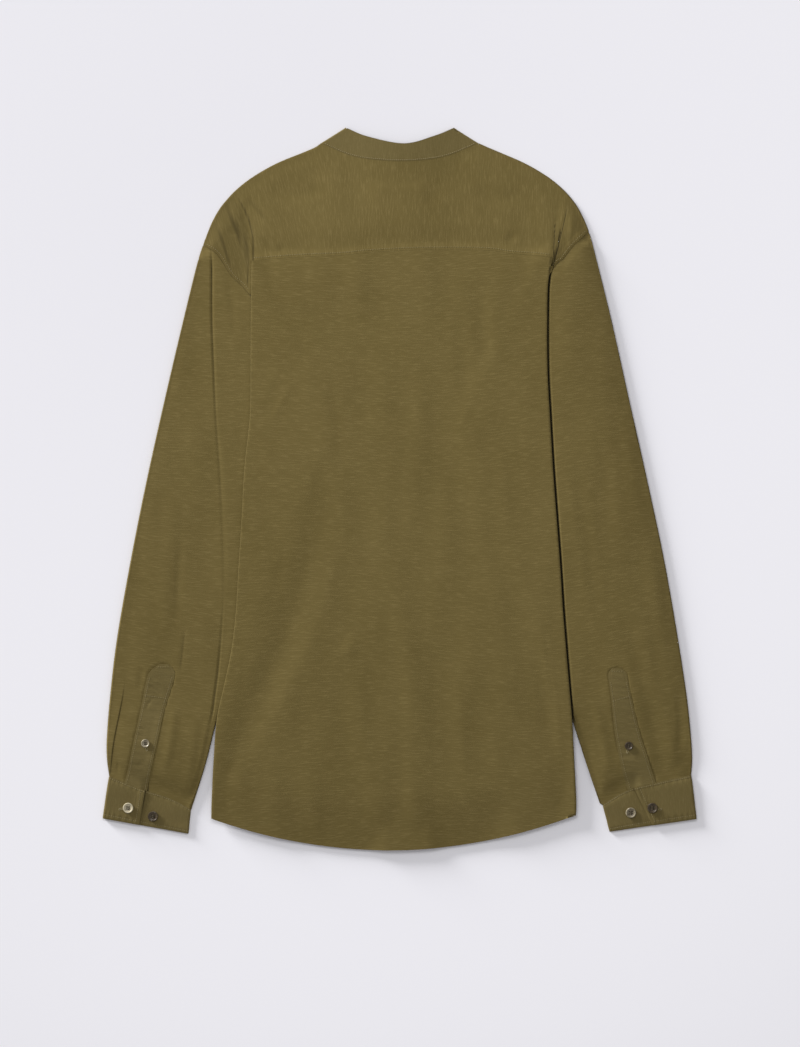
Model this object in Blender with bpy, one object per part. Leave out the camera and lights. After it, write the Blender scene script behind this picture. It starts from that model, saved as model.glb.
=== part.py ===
"""A long-sleeved shirt with a mandarin collar, in slub jersey, laid face down on a flat surface.

The back, the yoke, the collar band and the button side of both sleeves lie uppermost. Each side of the
body is tucked in between back and front, and the sleeve comes out of that tuck and lies beside the body.
Every piece of cloth is a middle surface between its own edge lines, given its wall by a Solidify
modifier. Sizes are in millimetres, and build() turns them into metres. +Y points to the collar, +Z up
from the surface, and left means -X, which is the wearer's left.
"""

from collections import namedtuple

import bmesh
import bpy
import numpy as np

MM = 0.001

# Cloth and the spaces between its layers
WALL = 1.0
GAP = 0.3
PLY = WALL + GAP
FOLD_RADIUS = PLY / 2
FOLD_REACH = FOLD_RADIUS + WALL / 2
FOLD_STEPS = 2

# How far a layer takes to come down beside the layers under it, and where it starts to
TUCK_FADE = 46.0
TUCK_MARGIN = 6.0
ARMHOLE_FADE = 44.0
SLEEVE_FADE = 30.0
SHOULDER_FADE = 42.0
SHOULDER_STEP = 6.0
SHOULDER_STEP_INSET = 3.5
ARMHOLE_MARGIN = 14.0

# Front closing, which faces the surface
PLACKET_WIDTH = 35.0
PLACKET_LAP = 31.0
PLACKET_FADE = 32.0
CLOSING_MARGIN = 6.0
CLOSING_CLEARANCE = 0.7
PLACKET_CLEARANCE = 0.25
FRONT_BUTTONS = 6
FRONT_BUTTON_TOP = 268.0
FRONT_BUTTON_PITCH = 95.0
FRONT_INSET = 2.0
FRONT_HEM_RISE = 8.0

# Buttons
BUTTON_RADIUS = 5.7
SMALL_BUTTON_RADIUS = 4.6
BUTTON_THICK = 2.0
BUTTON_ROOM = BUTTON_THICK + GAP
BUTTON_SIDES = 12
Turn = namedtuple("Turn", "out up")
BUTTON_PROFILE = [Turn(0.72, 0), Turn(0.97, 0.4), Turn(1, 0.62), Turn(0.9, 1), Turn(0.66, 0.72)]

# Collar band and neckline
NECK_X = 86.5
NECK_Y = 380.0
PEAK_X = 59.0
PEAK_Y = 397.0
FRONT_NECK_LOW = 296.0
FRONT_BAND_HEIGHT = 28.0
NECK_CURVE = 2.2
NECK_CLEARANCE = 2.4
COLLAR_STATIONS = 13

# Hem: a shallow bow, lowest a little left of the middle
HEM_LOW = -397.0
HEM_BOW = 9.2e-4
HEM_CENTRE = -12.0
SIDE_HEM_Y = -361.0
CUFF_WIDTH = 97.0
CUFF_UNDERLAP_END = 0.14

Point = namedtuple("Point", "x y")
Edge = namedtuple("Edge", "y left right")

# Where the shoulder and the outer edge of the sleeve run, from neck to cuff
OUTLINE = [
    Edge(380, -86.5, 86.5),
    Edge(371, -105.2, 111.0),
    Edge(358, -136.0, 139.0),
    Edge(344, -161.3, 163.2),
    Edge(331, -178.9, 179.7),
    Edge(318, -191.0, 190.7),
    Edge(305, -199.8, 198.4),
    Edge(285, -209.7, 207.2),
    Edge(252, -220.7, 216.0),
    Edge(186, -237.2, 232.5),
    Edge(98, -258.1, 252.3),
    Edge(10, -277.9, 272.1),
    Edge(-78, -295.5, 290.8),
    Edge(-166, -310.9, 306.2),
    Edge(-232, -318.6, 316.1),
    Edge(-276, -321.9, 320.5),
    Edge(-298, -321.6, 321.6),
    Edge(-314, -319.6, 320.6),
]

# The fold along each side of the body, from the shoulder to the hem
BODY_EDGE = [
    Edge(322, -183.3, 185.0),
    Edge(306, -172.6, 182.4),
    Edge(283, -165.2, 177.5),
    Edge(258, -162.4, 171.2),
    Edge(230, -162.8, 163.6),
    Edge(186, -163.4, 162.1),
    Edge(130, -163.6, 162.5),
    Edge(80, -164.4, 165.1),
    Edge(20, -170.6, 168.6),
    Edge(-34, -173.5, 172.6),
    Edge(-85, -176.8, 176.4),
    Edge(-130, -179.4, 179.2),
    Edge(-173, -184.0, 182.6),
    Edge(-215, -192.5, 186.2),
    Edge(-252, -200.6, 189.3),
    Edge(-298, -204.2, 191.8),
    Edge(-342, -206.4, 194.0),
    Edge(-362, -206.8, 193.6),
]

# The inner edge of each sleeve, from the armpit, under the body, to the cuff
SLEEVE_INNER = [
    Edge(58, -86.0, 80.0),
    Edge(0, -114.0, 107.0),
    Edge(-80, -145.5, 138.0),
    Edge(-166, -175.5, 166.0),
    Edge(-251, -201.0, 189.6),
    Edge(-298, -211.9, 203.9),
    Edge(-342, -224.0, 218.8),
    Edge(-350, -226.4, 221.6),
]

# The side seams, hidden in the tucks, from the armpit to the hem
SIDE_SEAM = [Edge(58, -84.0, 78.0), Edge(-150, -119.0, 113.0), Edge(-350, -148.0, 136.0)]

# The armhole seams, from the outline in to the body's fold and on, hidden, to the armpit
ARMHOLE = {
    "left": [Point(-212.5, 273.5), Point(-194.3, 250.8), Point(-178, 226), Point(-164.5, 213),
             Point(-118, 146), Point(-84, 58)],
    "right": [Point(207.6, 282.5), Point(190.5, 266), Point(178.5, 250.5), Point(168.2, 240.5),
              Point(116, 158), Point(78, 58)],
}
VISIBLE_ARMHOLE_POINTS = 4
ARMHOLE_COLUMNS = 4
FRONT_FOLD_TOP = {"left": 202.0, "right": 226.0}

# The seam between yoke and back, and the one between yoke and front, under the shoulder
YOKE_SEAM = [Point(-163.0, 250.5), Point(-110, 254.5), Point(-64, 256.5), Point(-34, 259.5),
             Point(22, 262.2), Point(92, 262), Point(121, 258.5), Point(150, 256.3), Point(168, 254)]
FRONT_YOKE_SEAM = [Point(75, 350), Point(112, 333), Point(150, 309), Point(174, 284)]

# The collar band at the back: its seam to the yoke and its free edge
BACK_COLLAR_SEAM = [Point(-86.5, 380), Point(-51, 365.5), Point(-15, 360.4), Point(20, 360.6),
                    Point(52, 366), Point(86.5, 380)]
BACK_COLLAR_TOP = [Point(-59, 397), Point(-35, 387.2), Point(5, 379.5), Point(38, 388), Point(60, 397)]

# The middle line of the front closing
CENTRE_FRONT = [Point(0, 330), Point(-3, 100), Point(-4, -40), Point(9, -392)]

# Sleeve plackets: strips that lie on the sleeve, from the tip to the cuff
PLACKET = {
    "left": [Edge(-192.5, -264.0, -254.0), Edge(-200, -273.5, -247.8), Edge(-210, -278.0, -248.2),
             Edge(-243, -284.6, -258.6), Edge(-278, -292.4, -266.8), Edge(-305, -298.4, -274.4),
             Edge(-318, -302.6, -277.6)],
    "right": [Edge(-197.0, 233.0, 243.0), Edge(-202, 229.2, 248.6), Edge(-210, 229.4, 250.4),
              Edge(-233, 232.5, 255.2), Edge(-266, 236.2, 263.3), Edge(-298, 243.4, 274.4),
              Edge(-316, 250.6, 281.4)],
}

# Cuffs, each from its outer side to its inner side. lap is where the free edge of the upper half lies.
CUFF = {
    "left": {"seam": [Point(-319.4, -316.2), Point(-284, -330.5), Point(-254, -340), Point(-229, -353)],
             "edge": [Point(-326.4, -362.0), Point(-231.8, -379.0)],
             "lap": {"seam": 0.435, "edge": 0.425}},
    "right": {"seam": [Point(320.6, -314.6), Point(284, -322.6), Point(250, -331.6), Point(222.6, -347.9)],
              "edge": [Point(326.4, -362.7), Point(230.3, -376.8)],
              "lap": {"seam": 0.62, "edge": 0.508}},
}

# Buttons on the sleeves: place, radius, and how many layers of cloth lie under each
SleeveButton = namedtuple("SleeveButton", "name x y radius layers")
SLEEVE_BUTTONS = [
    SleeveButton("cuff_button_left_fastened", -298.2, -350.4, BUTTON_RADIUS, 3),
    SleeveButton("cuff_button_left_spare", -271.1, -359.7, BUTTON_RADIUS, 2),
    SleeveButton("placket_button_left", -279.1, -279.2, SMALL_BUTTON_RADIUS, 3),
    SleeveButton("cuff_button_right_fastened", 277.5, -350.4, BUTTON_RADIUS, 3),
    SleeveButton("cuff_button_right_spare", 254.0, -355.7, BUTTON_RADIUS, 2),
    SleeveButton("placket_button_right", 251.5, -282.0, SMALL_BUTTON_RADIUS, 3),
]

# The largest folds of the back: a soft ridge from start to end, with its height and half its width
Fold = namedtuple("Fold", "start end height half_width")
BACK_FOLDS = [
    Fold(Point(-60, 12), Point(-168, -330), 3.6, 30),
    Fold(Point(2, -60), Point(9, -392), 2.0, 22),
    Fold(Point(96, 200), Point(108, 90), 1.6, 26),
    Fold(Point(-118, 150), Point(-150, 60), 1.5, 20),
]
SLEEVE_FOLDS = [
    Fold(Point(-240, -60), Point(-244, -180), 2.2, 16),
    Fold(Point(-196, 200), Point(-190, -120), 2.0, 12),
    Fold(Point(268, -150), Point(296, -296), 2.0, 20),
    Fold(Point(236, 60), Point(262, -120), 1.6, 24),
]

OLIVE = (0.138, 0.103, 0.036)
OLIVE_DOUBLE = (0.130, 0.098, 0.036)
HORN = (0.16, 0.115, 0.075)
SIDES = ("left", "right")
SIGN = {"left": -1.0, "right": 1.0}


# Lines and heights ------------------------------------------------------------------------------


def smooth_line(points, samples=240):
    """A Catmull-Rom line through the points, as samples that are evenly spaced along it."""
    knots = np.array([(p.x, p.y) for p in points], float)
    before = 2 * knots[0] - knots[1]
    after = 2 * knots[-1] - knots[-2]
    padded = np.vstack([before, knots, after])
    share = np.linspace(0, 1, 24)[:, None]
    dense = [knots[:1]]
    for a, b, c, d in zip(padded, padded[1:], padded[2:], padded[3:]):
        piece = b + 0.5 * share * (c - a + share * (2 * a - 5 * b + 4 * c - d
                                                   + share * (3 * (b - c) + d - a)))
        dense.append(piece[1:])
    return resample(np.vstack(dense), np.linspace(0, 1, samples))


def resample(line, shares):
    """Points of the line at the given shares of its length."""
    steps = np.linalg.norm(np.diff(line, axis=0), axis=1)
    along = np.concatenate([[0], np.cumsum(steps)])
    wanted = np.asarray(shares) * along[-1]
    return np.column_stack([np.interp(wanted, along, line[:, axis]) for axis in (0, 1)])


def even(line, count):
    return resample(line, np.linspace(0, 1, count))


def visible_armhole(side, count):
    start, end = ARMHOLE[side][0], ARMHOLE[side][VISIBLE_ARMHOLE_POINTS - 1]
    return even(part_of(armhole[side], start.y, end.y), count)


def hidden_armhole(side, count):
    start, end = ARMHOLE[side][VISIBLE_ARMHOLE_POINTS - 1], ARMHOLE[side][-1]
    return even(part_of(armhole[side], start.y, end.y), count)


def part_of(line, high, low):
    """The stretch of a line that runs down from height high to height low."""
    inside = (line[:, 1] < high) & (line[:, 1] > low)
    ends = [point_at_height(line, high), point_at_height(line, low)]
    return np.vstack([ends[:1], line[inside], ends[1:]])


def point_at_height(line, y):
    order = np.argsort(line[:, 1])
    return np.array([np.interp(y, line[order, 1], line[order, 0]), y])


def side_line(table, side):
    return smooth_line([Point(getattr(row, side), row.y) for row in table])


def x_at(line, y):
    order = np.argsort(line[:, 1])
    return np.interp(y, line[order, 1], line[order, 0])


def y_at(line, x):
    order = np.argsort(line[:, 0])
    return np.interp(x, line[order, 0], line[order, 1])


def ease(value):
    """0 up to 0, 1 from 1 on, and a smooth slope between."""
    t = np.clip(value, 0, 1)
    return t * t * (3 - 2 * t)


def unit(vectors):
    return vectors / np.linalg.norm(vectors, axis=-1, keepdims=True)


outline = {side: side_line(OUTLINE, side) for side in SIDES}
body_edge = {side: side_line(BODY_EDGE, side) for side in SIDES}
sleeve_inner = {side: side_line(SLEEVE_INNER, side) for side in SIDES}
side_seam = {side: side_line(SIDE_SEAM, side) for side in SIDES}
armhole = {side: smooth_line(ARMHOLE[side]) for side in SIDES}
yoke_seam = smooth_line(YOKE_SEAM)
centre_front = smooth_line(CENTRE_FRONT)


def hem_y(x):
    return HEM_LOW + HEM_BOW * (x - HEM_CENTRE) ** 2


def inward(line, side, x, y):
    """How far (x, y) lies inside the line, towards the middle of the shirt."""
    return SIGN[side] * (x_at(line, y) - x)


def above_armhole(side, x, y):
    """How far (x, y) lies above the armhole, as a straight line from the body's fold to the armpit."""
    top, armpit = ARMHOLE[side][VISIBLE_ARMHOLE_POINTS - 1], ARMHOLE[side][-1]
    along = unit(np.array([armpit.x - top.x, armpit.y - top.y]))
    return SIGN[side] * ((x - top.x) * along[1] - (y - top.y) * along[0]) - ARMHOLE_MARGIN


def tuck(side, x, y, inner_line):
    """1 over the layers tucked in outside inner_line, easing to 0 inwards and above the armhole."""
    across = 1 - ease((inward(inner_line, side, x, y) - TUCK_MARGIN) / TUCK_FADE)
    upwards = 1 - ease(above_armhole(side, x, y) / ARMHOLE_FADE)
    return across * upwards


def over_front_fold(side, x, y):
    """1 over the folded side of the front, easing to 0 outwards and towards the shoulder."""
    outwards = 1 - ease((-inward(body_edge[side], side, x, y) - 1) / SLEEVE_FADE)
    upwards = 1 - ease((y - FRONT_FOLD_TOP[side] - 3) / SHOULDER_FADE)
    return outwards * upwards


def closing(x, y, margin):
    """1 over the front closing, easing to 0 beyond a margin at its sides and above its collar button."""
    aside = np.abs(x - x_at(centre_front, y)) - PLACKET_WIDTH / 2 - margin
    above = y - FRONT_NECK_LOW - FRONT_BAND_HEIGHT - margin
    return (1 - ease(aside / PLACKET_FADE)) * (1 - ease(above / PLACKET_FADE))


def front_height(x, y):
    """Underside of the left front, which the buttons of the closing hold off the surface."""
    return BUTTON_ROOM * closing(x, y, 1)


def front_right_height(x, y):
    """Underside of the right front, which also lies on the left one at the closing."""
    return (BUTTON_ROOM + PLY + PLACKET_CLEARANCE) * closing(x, y, 1)


def front_flap_height(x, y):
    return np.full_like(x, PLY)


def sleeve_height(side):
    return lambda x, y: 2 * PLY * over_front_fold(side, x, y)


def back_flap_height(side):
    return lambda x, y: PLY * (2 + 2 * tuck(side, x, y, sleeve_inner[side]))


def folds_height(folds, x, y):
    """Soft ridges along the folds, each fading out at its ends."""
    total = np.zeros_like(x)
    for fold in folds:
        run = np.array([fold.end.x - fold.start.x, fold.end.y - fold.start.y])
        length = np.linalg.norm(run)
        along = ((x - fold.start.x) * run[0] + (y - fold.start.y) * run[1]) / length ** 2
        aside = ((x - fold.start.x) * run[1] - (y - fold.start.y) * run[0]) / length
        ends = ease(along / 0.25 + 0.4) * ease((1 - along) / 0.2 + 0.6)
        total += fold.height * ends * (1 - ease(np.abs(aside) / fold.half_width))
    return total


def body_height(x, y):
    """Underside of the back and of the yoke within the body's folds."""
    plies = 1
    for side in SIDES:
        plies = plies + 2 * tuck(side, x, y, side_seam[side]) + 2 * tuck(side, x, y, sleeve_inner[side])
    over_closing = (BUTTON_ROOM + PLY + CLOSING_CLEARANCE) * closing(x, y, CLOSING_MARGIN)
    return PLY * plies + over_closing + folds_height(BACK_FOLDS, x, y)


def yoke_height(x, y):
    """As the back within the folds, and stepping down to the sleeve's height outside them."""
    height = body_height(x, y)
    for side in SIDES:
        outside = PLY * (1 + 2 * over_front_fold(side, x, y))
        inside = inward(body_edge[side], side, x, y) - SHOULDER_STEP_INSET
        share = ease(0.5 - inside / SHOULDER_STEP)
        height = height + share * (outside - height)
    return height


# Meshes -----------------------------------------------------------------------------------------


def fill(top, bottom, first, last):
    """A grid of points between four edge lines: rows run from top to bottom, columns from first to last."""
    u = np.linspace(0, 1, len(top))[None, :, None]
    v = np.linspace(0, 1, len(first))[:, None, None]
    down = (1 - v) * top[None] + v * bottom[None]
    over = (1 - u) * first[:, None] + u * last[:, None]
    corners = ((1 - u) * (1 - v) * top[0] + u * (1 - v) * top[-1]
               + (1 - u) * v * bottom[0] + u * v * bottom[-1])
    return down + over - corners


def raised(points, height):
    """Plan points given the height of their layer's underside, plus half the wall."""
    z = height(points[..., 0], points[..., 1]) + WALL / 2
    return np.concatenate([points, z[..., None]], axis=-1)


def fold_round(upper, lower, outwards):
    """Points on a half circle from each upper edge point to the lower one beneath it."""
    angles = np.linspace(0, np.pi, FOLD_STEPS + 2)[1:-1]
    middle, half = (upper + lower) / 2, (upper - lower) / 2
    reach = np.concatenate([outwards, np.zeros_like(outwards[..., :1])], axis=-1)
    radius = np.linalg.norm(half, axis=-1, keepdims=True)
    return np.stack([middle + half * np.cos(a) + reach * radius * np.sin(a) for a in angles], axis=1)


class Cloth:
    """Grids of middle-surface points that share points where they meet."""

    def __init__(self):
        self.index = {}
        self.points = []
        self.faces = []

    def number(self, point):
        key = tuple(np.round(point, 3))
        if key not in self.index:
            self.index[key] = len(self.points)
            self.points.append(point)
        return self.index[key]

    def add(self, grid):
        numbers = [[self.number(point) for point in row] for row in grid]
        for upper, lower in zip(numbers, numbers[1:]):
            for a, b, c, d in zip(upper, upper[1:], lower[1:], lower):
                corners = list(dict.fromkeys((a, b, c, d)))
                if len(corners) > 2:
                    self.faces.append(corners)

    def build(self, name, material):
        mesh = bpy.data.meshes.new(name)
        mesh.from_pydata([tuple(point * MM) for point in self.points], [], self.faces)
        surface = bmesh.new()
        surface.from_mesh(mesh)
        bmesh.ops.recalc_face_normals(surface, faces=surface.faces)
        surface.to_mesh(mesh)
        surface.free()
        mesh.materials.append(material)
        mesh.shade_smooth()
        piece = bpy.data.objects.new(name, mesh)
        bpy.context.scene.collection.objects.link(piece)
        wall = piece.modifiers.new("wall", "SOLIDIFY")
        wall.thickness = WALL * MM
        wall.offset = 0
        wall.use_even_offset = True
        wall.use_rim = True
        return piece


def principled(name, color, roughness):
    material = bpy.data.materials.new(name)
    material.use_nodes = True
    shader = material.node_tree.nodes["Principled BSDF"]
    shader.inputs["Base Color"].default_value = (*color, 1)
    shader.inputs["Roughness"].default_value = roughness
    return material


# Pieces -----------------------------------------------------------------------------------------


def build_back(cloth_material):
    """The back: its visible panel and the flap of it that is tucked in at each side."""
    rows, columns, flap_columns, first_flap_row = 20, 18, 5, 3
    cloth = Cloth()
    seam = yoke_seam - [0, 2 * GAP]
    seam = seam[(seam[:, 0] > -162) & (seam[:, 0] < 168)]
    heights = np.linspace(YOKE_SEAM[0].y, SIDE_HEM_Y, rows)
    edges = {}
    for side in SIDES:
        edge = np.array([point_at_height(body_edge[side], y) for y in heights])
        edge[0, 1] = y_at(seam, edge[0, 0])
        edge[-1, 1] = hem_y(edge[-1, 0])
        edge[:, 0] -= SIGN[side] * FOLD_REACH
        edges[side] = edge
    across = np.linspace(0, 1, columns)
    top_x = edges["left"][0, 0] + across * (edges["right"][0, 0] - edges["left"][0, 0])
    hem_x = edges["left"][-1, 0] + across * (edges["right"][-1, 0] - edges["left"][-1, 0])
    top = np.column_stack([top_x, y_at(seam, top_x)])
    hem = np.column_stack([hem_x, hem_y(hem_x)])
    top[0], top[-1] = edges["left"][0], edges["right"][0]
    hem[0], hem[-1] = edges["left"][-1], edges["right"][-1]
    panel = raised(fill(top, hem, edges["left"], edges["right"]), body_height)
    cloth.add(panel)
    for side, column in (("left", 0), ("right", -1)):
        upper = panel[first_flap_row:, column]
        lower = upper - [0, 0, PLY]
        bend = fold_round(upper, lower, np.tile([SIGN[side], 0.0], (len(upper), 1)))
        cloth.add(np.concatenate([upper[:, None], bend, lower[:, None]], axis=1))
        flap = tucked_flap(side, upper[:, :2], flap_columns, 0)
        grid = raised(flap, back_flap_height(side))
        grid[:, 0] = lower
        cloth.add(grid)
    return cloth.build("back", cloth_material)


def tucked_flap(side, edge, columns, hem_rise):
    """Plan points of the cloth that turns in from the body's fold to the side seam or the armhole."""
    armhole_hidden = armhole[side][armhole[side][:, 1] < ARMHOLE[side][VISIBLE_ARMHOLE_POINTS - 1].y]
    inner_x = np.where(edge[:, 1] > SIDE_SEAM[0].y, x_at(armhole_hidden, edge[:, 1]),
                       x_at(side_seam[side], edge[:, 1]))
    inner = np.column_stack([inner_x, edge[:, 1]])
    unfolded = 2 * edge[-1, 0] - inner[-1, 0]
    inner[-1, 1] = hem_y(unfolded) + hem_rise
    share = np.linspace(0, 1, columns)[None, :, None]
    return (1 - share) * edge[:, None] + share * inner[:, None]


def build_yoke(cloth_material):
    """The yoke: across the shoulders at the back, over their outline and down to the front's seam."""
    rows, inner_columns = 6, 5
    inset = 1.5
    bottoms, tops, wraps = [], [], []
    for side in SIDES:
        seam = ARMHOLE[side][:VISIBLE_ARMHOLE_POINTS]
        lower = visible_armhole(side, ARMHOLE_COLUMNS)
        rim = even(part_of(outline[side], BODY_EDGE[0].y, seam[0].y + 2)[::-1], ARMHOLE_COLUMNS)
        shoulder = part_of(outline[side], NECK_Y - NECK_CLEARANCE, BODY_EDGE[0].y + 2 * inset)[::-1]
        shoulder = even(shoulder, inner_columns)
        bottoms.append(lower if side == "left" else lower[::-1])
        rim = np.vstack([rim, shoulder])
        tops.append(rim if side == "left" else rim[::-1])
        wraps.append(len(rim))
    collar = even(smooth_line(BACK_COLLAR_SEAM), COLLAR_STATIONS)[1:-1] - [0, GAP]
    inner_count = 2 * inner_columns + len(collar)
    seam_x = np.linspace(YOKE_SEAM[0].x + inset, YOKE_SEAM[-1].x - inset, inner_count)
    seam = np.column_stack([seam_x, y_at(yoke_seam, seam_x)])
    bottom = np.vstack([bottoms[0], seam, bottoms[1]])
    top = np.vstack([tops[0], collar, tops[1]])
    facing = outward_normals(top)
    wrapped = np.zeros(len(top), bool)
    wrapped[:wraps[0]] = True
    wrapped[-wraps[1]:] = True
    top = top - np.where(wrapped[:, None], facing * FOLD_REACH, 0)
    share = np.linspace(0, 1, rows)[:, None, None]
    panel = raised((1 - share) * top[None] + share * bottom[None], yoke_height)
    cloth = Cloth()
    cloth.add(panel)
    for side, chosen in (("left", slice(0, wraps[0])), ("right", slice(len(top) - wraps[1], None))):
        upper = panel[0, chosen]
        lower = upper.copy()
        lower[:, 2] = WALL / 2
        bend = fold_round(upper, lower, facing[chosen])
        cloth.add(np.concatenate([upper[:, None], bend, lower[:, None]], axis=1).swapaxes(0, 1)[::-1])
        seam = front_yoke_seam(side, len(upper))
        seam = seam[::-1] if side == "left" else seam
        share = np.linspace(0, 1, 4)[:, None, None]
        plan = (1 - share) * seam[None] + share * lower[None, :, :2]
        cloth.add(raised(plan, lambda x, y: np.zeros_like(x)))
    return cloth.build("yoke", cloth_material)


def front_yoke_seam(side, count):
    """The seam between yoke and front, from the neck to the armhole."""
    end = ARMHOLE[side][1]
    inner = [Point(SIGN[side] * p.x, p.y) for p in FRONT_YOKE_SEAM]
    return even(smooth_line(inner + [Point(end.x - SIGN[side] * FRONT_INSET, end.y)]), count)


def outward_normals(line):
    """For a line that runs from left to right over the shirt, the directions away from it."""
    tangents = unit(np.gradient(line, axis=0))
    return np.column_stack([-tangents[:, 1], tangents[:, 0]])


def neck_curve(x, low, half_width, high):
    return low + (high - low) * np.abs(x / half_width) ** NECK_CURVE


def build_front(side, cloth_material):
    """One front: its panel against the surface and the flap of it that is tucked in at the side."""
    shoulder_columns, neck_columns, arm_rows, side_rows, flap_columns = 9, 7, 4, 16, 5
    sign = SIGN[side]
    centre_x = x_at(centre_front, 300)
    if side == "left":
        centre_side = -PLACKET_WIDTH / 2 - GAP
        height = front_height
    else:
        centre_side = PLACKET_WIDTH / 2 - PLACKET_LAP
        height = front_right_height
    shoulder = front_yoke_seam(side, shoulder_columns)[::-1] - [0, 3 * GAP]
    neck_x = np.linspace(sign * (FRONT_YOKE_SEAM[0].x - 2), centre_x + centre_side, neck_columns)
    neck = np.column_stack([neck_x, neck_curve(neck_x, FRONT_NECK_LOW, NECK_X, NECK_Y) - 2 * GAP])
    top = np.vstack([shoulder, neck])
    arm = even(part_of(armhole[side], shoulder[0, 1] - 0.01, FRONT_FOLD_TOP[side]), arm_rows)
    arm[:, 0] -= sign * (GAP + 1.2)
    arm[0] = shoulder[0]
    down = np.linspace(FRONT_FOLD_TOP[side], SIDE_HEM_Y, side_rows)[1:]
    fold = np.array([point_at_height(body_edge[side], y) for y in down])
    fold[:, 0] -= sign * (FRONT_INSET + FOLD_REACH)
    outer = np.vstack([arm, fold])
    outer[-1, 1] = hem_y(outer[-1, 0]) + FRONT_HEM_RISE
    down_share = (outer[:, 1] - outer[0, 1]) / (outer[-1, 1] - outer[0, 1])
    inner_y = top[-1, 1] + down_share * (hem_y(centre_side) + FRONT_HEM_RISE - top[-1, 1])
    inner = np.column_stack([x_at(centre_front, inner_y) + centre_side, inner_y])
    inner[0] = top[-1]
    hem_x = np.linspace(outer[-1, 0], inner[-1, 0], len(top))
    hem = np.column_stack([hem_x, hem_y(hem_x) + FRONT_HEM_RISE])
    hem[0], hem[-1] = outer[-1], inner[-1]
    panel = raised(fill(top, hem, outer, inner), height)
    cloth = Cloth()
    cloth.add(panel)
    lower = panel[arm_rows:, 0]
    upper = lower + [0, 0, PLY]
    bend = fold_round(upper, lower, np.tile([sign, 0.0], (len(lower), 1)))
    cloth.add(np.concatenate([upper[:, None], bend, lower[:, None]], axis=1))
    flap = raised(tucked_flap(side, upper[:, :2], flap_columns, FRONT_HEM_RISE), front_flap_height)
    flap[:, 0] = upper
    cloth.add(flap)
    return cloth.build("front_" + side, cloth_material)


def build_front_placket(cloth_material):
    """The strip that closes the left front over the right one."""
    rows, columns = 20, 5
    ys = np.linspace(FRONT_NECK_LOW - 2 * GAP, hem_y(0) + FRONT_HEM_RISE, rows)
    offsets = np.linspace(-PLACKET_WIDTH / 2, PLACKET_WIDTH / 2, columns)
    x = x_at(centre_front, ys)[:, None] + offsets[None]
    plan = np.stack([x, np.repeat(ys[:, None], columns, axis=1)], axis=-1)
    cloth = Cloth()
    cloth.add(raised(plan, front_height))
    return cloth.build("front_placket", cloth_material)


def build_collar(cloth_material):
    """The band collar: one strip from the left end at the front, round the back, to the right end."""
    front_stations, rows = 9, 4
    centre_x = x_at(centre_front, 330)
    seam_half, top_half = NECK_X - NECK_CLEARANCE, PEAK_X - FOLD_REACH / 2

    def half_front(sign, end_x):
        seam_x = np.linspace(end_x, sign * seam_half, front_stations)
        top_x = np.linspace(end_x, sign * top_half, front_stations)
        seam_y = neck_curve(seam_x, FRONT_NECK_LOW + GAP, seam_half, NECK_Y - FOLD_REACH)
        top_y = neck_curve(top_x, FRONT_NECK_LOW + FRONT_BAND_HEIGHT, top_half, PEAK_Y - FOLD_REACH)
        return np.column_stack([seam_x, seam_y]), np.column_stack([top_x, top_y])

    left_seam, left_top = half_front(-1, centre_x + PLACKET_WIDTH / 2)
    right_seam, right_top = half_front(1, centre_x + PLACKET_WIDTH / 2 - PLACKET_LAP)
    back_seam = even(smooth_line(BACK_COLLAR_SEAM), COLLAR_STATIONS)
    back_top = even(smooth_line(BACK_COLLAR_TOP), COLLAR_STATIONS)
    back_seam[[0, -1]] = left_seam[-1], right_seam[-1]
    back_top[[0, -1]] = left_top[-1], right_top[-1]
    share = np.linspace(0, 1, rows)[:, None, None]

    def grid(seam, top, height):
        return raised((1 - share) * seam[None] + share * top[None], height)

    front_left = grid(left_seam, left_top, front_height)
    front_right = grid(right_seam, right_top, front_right_height)
    back = grid(back_seam, back_top, lambda x, y: np.full_like(x, PLY))
    cloth = Cloth()
    cloth.add(back)
    cloth.add(front_left)
    cloth.add(front_right)
    for sign, column, front in ((-1.0, 0, front_left), (1.0, -1, front_right)):
        direction = unit(np.array([sign * (PEAK_Y - NECK_Y), NECK_X - PEAK_X]))
        upper, lower = back[:, column], front[:, -1]
        bend = fold_round(upper, lower, np.tile(direction, (rows, 1)))
        strip = np.concatenate([upper[:, None], bend, lower[:, None]], axis=1)
        cloth.add(strip)
    return cloth.build("collar_band", cloth_material)


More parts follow.
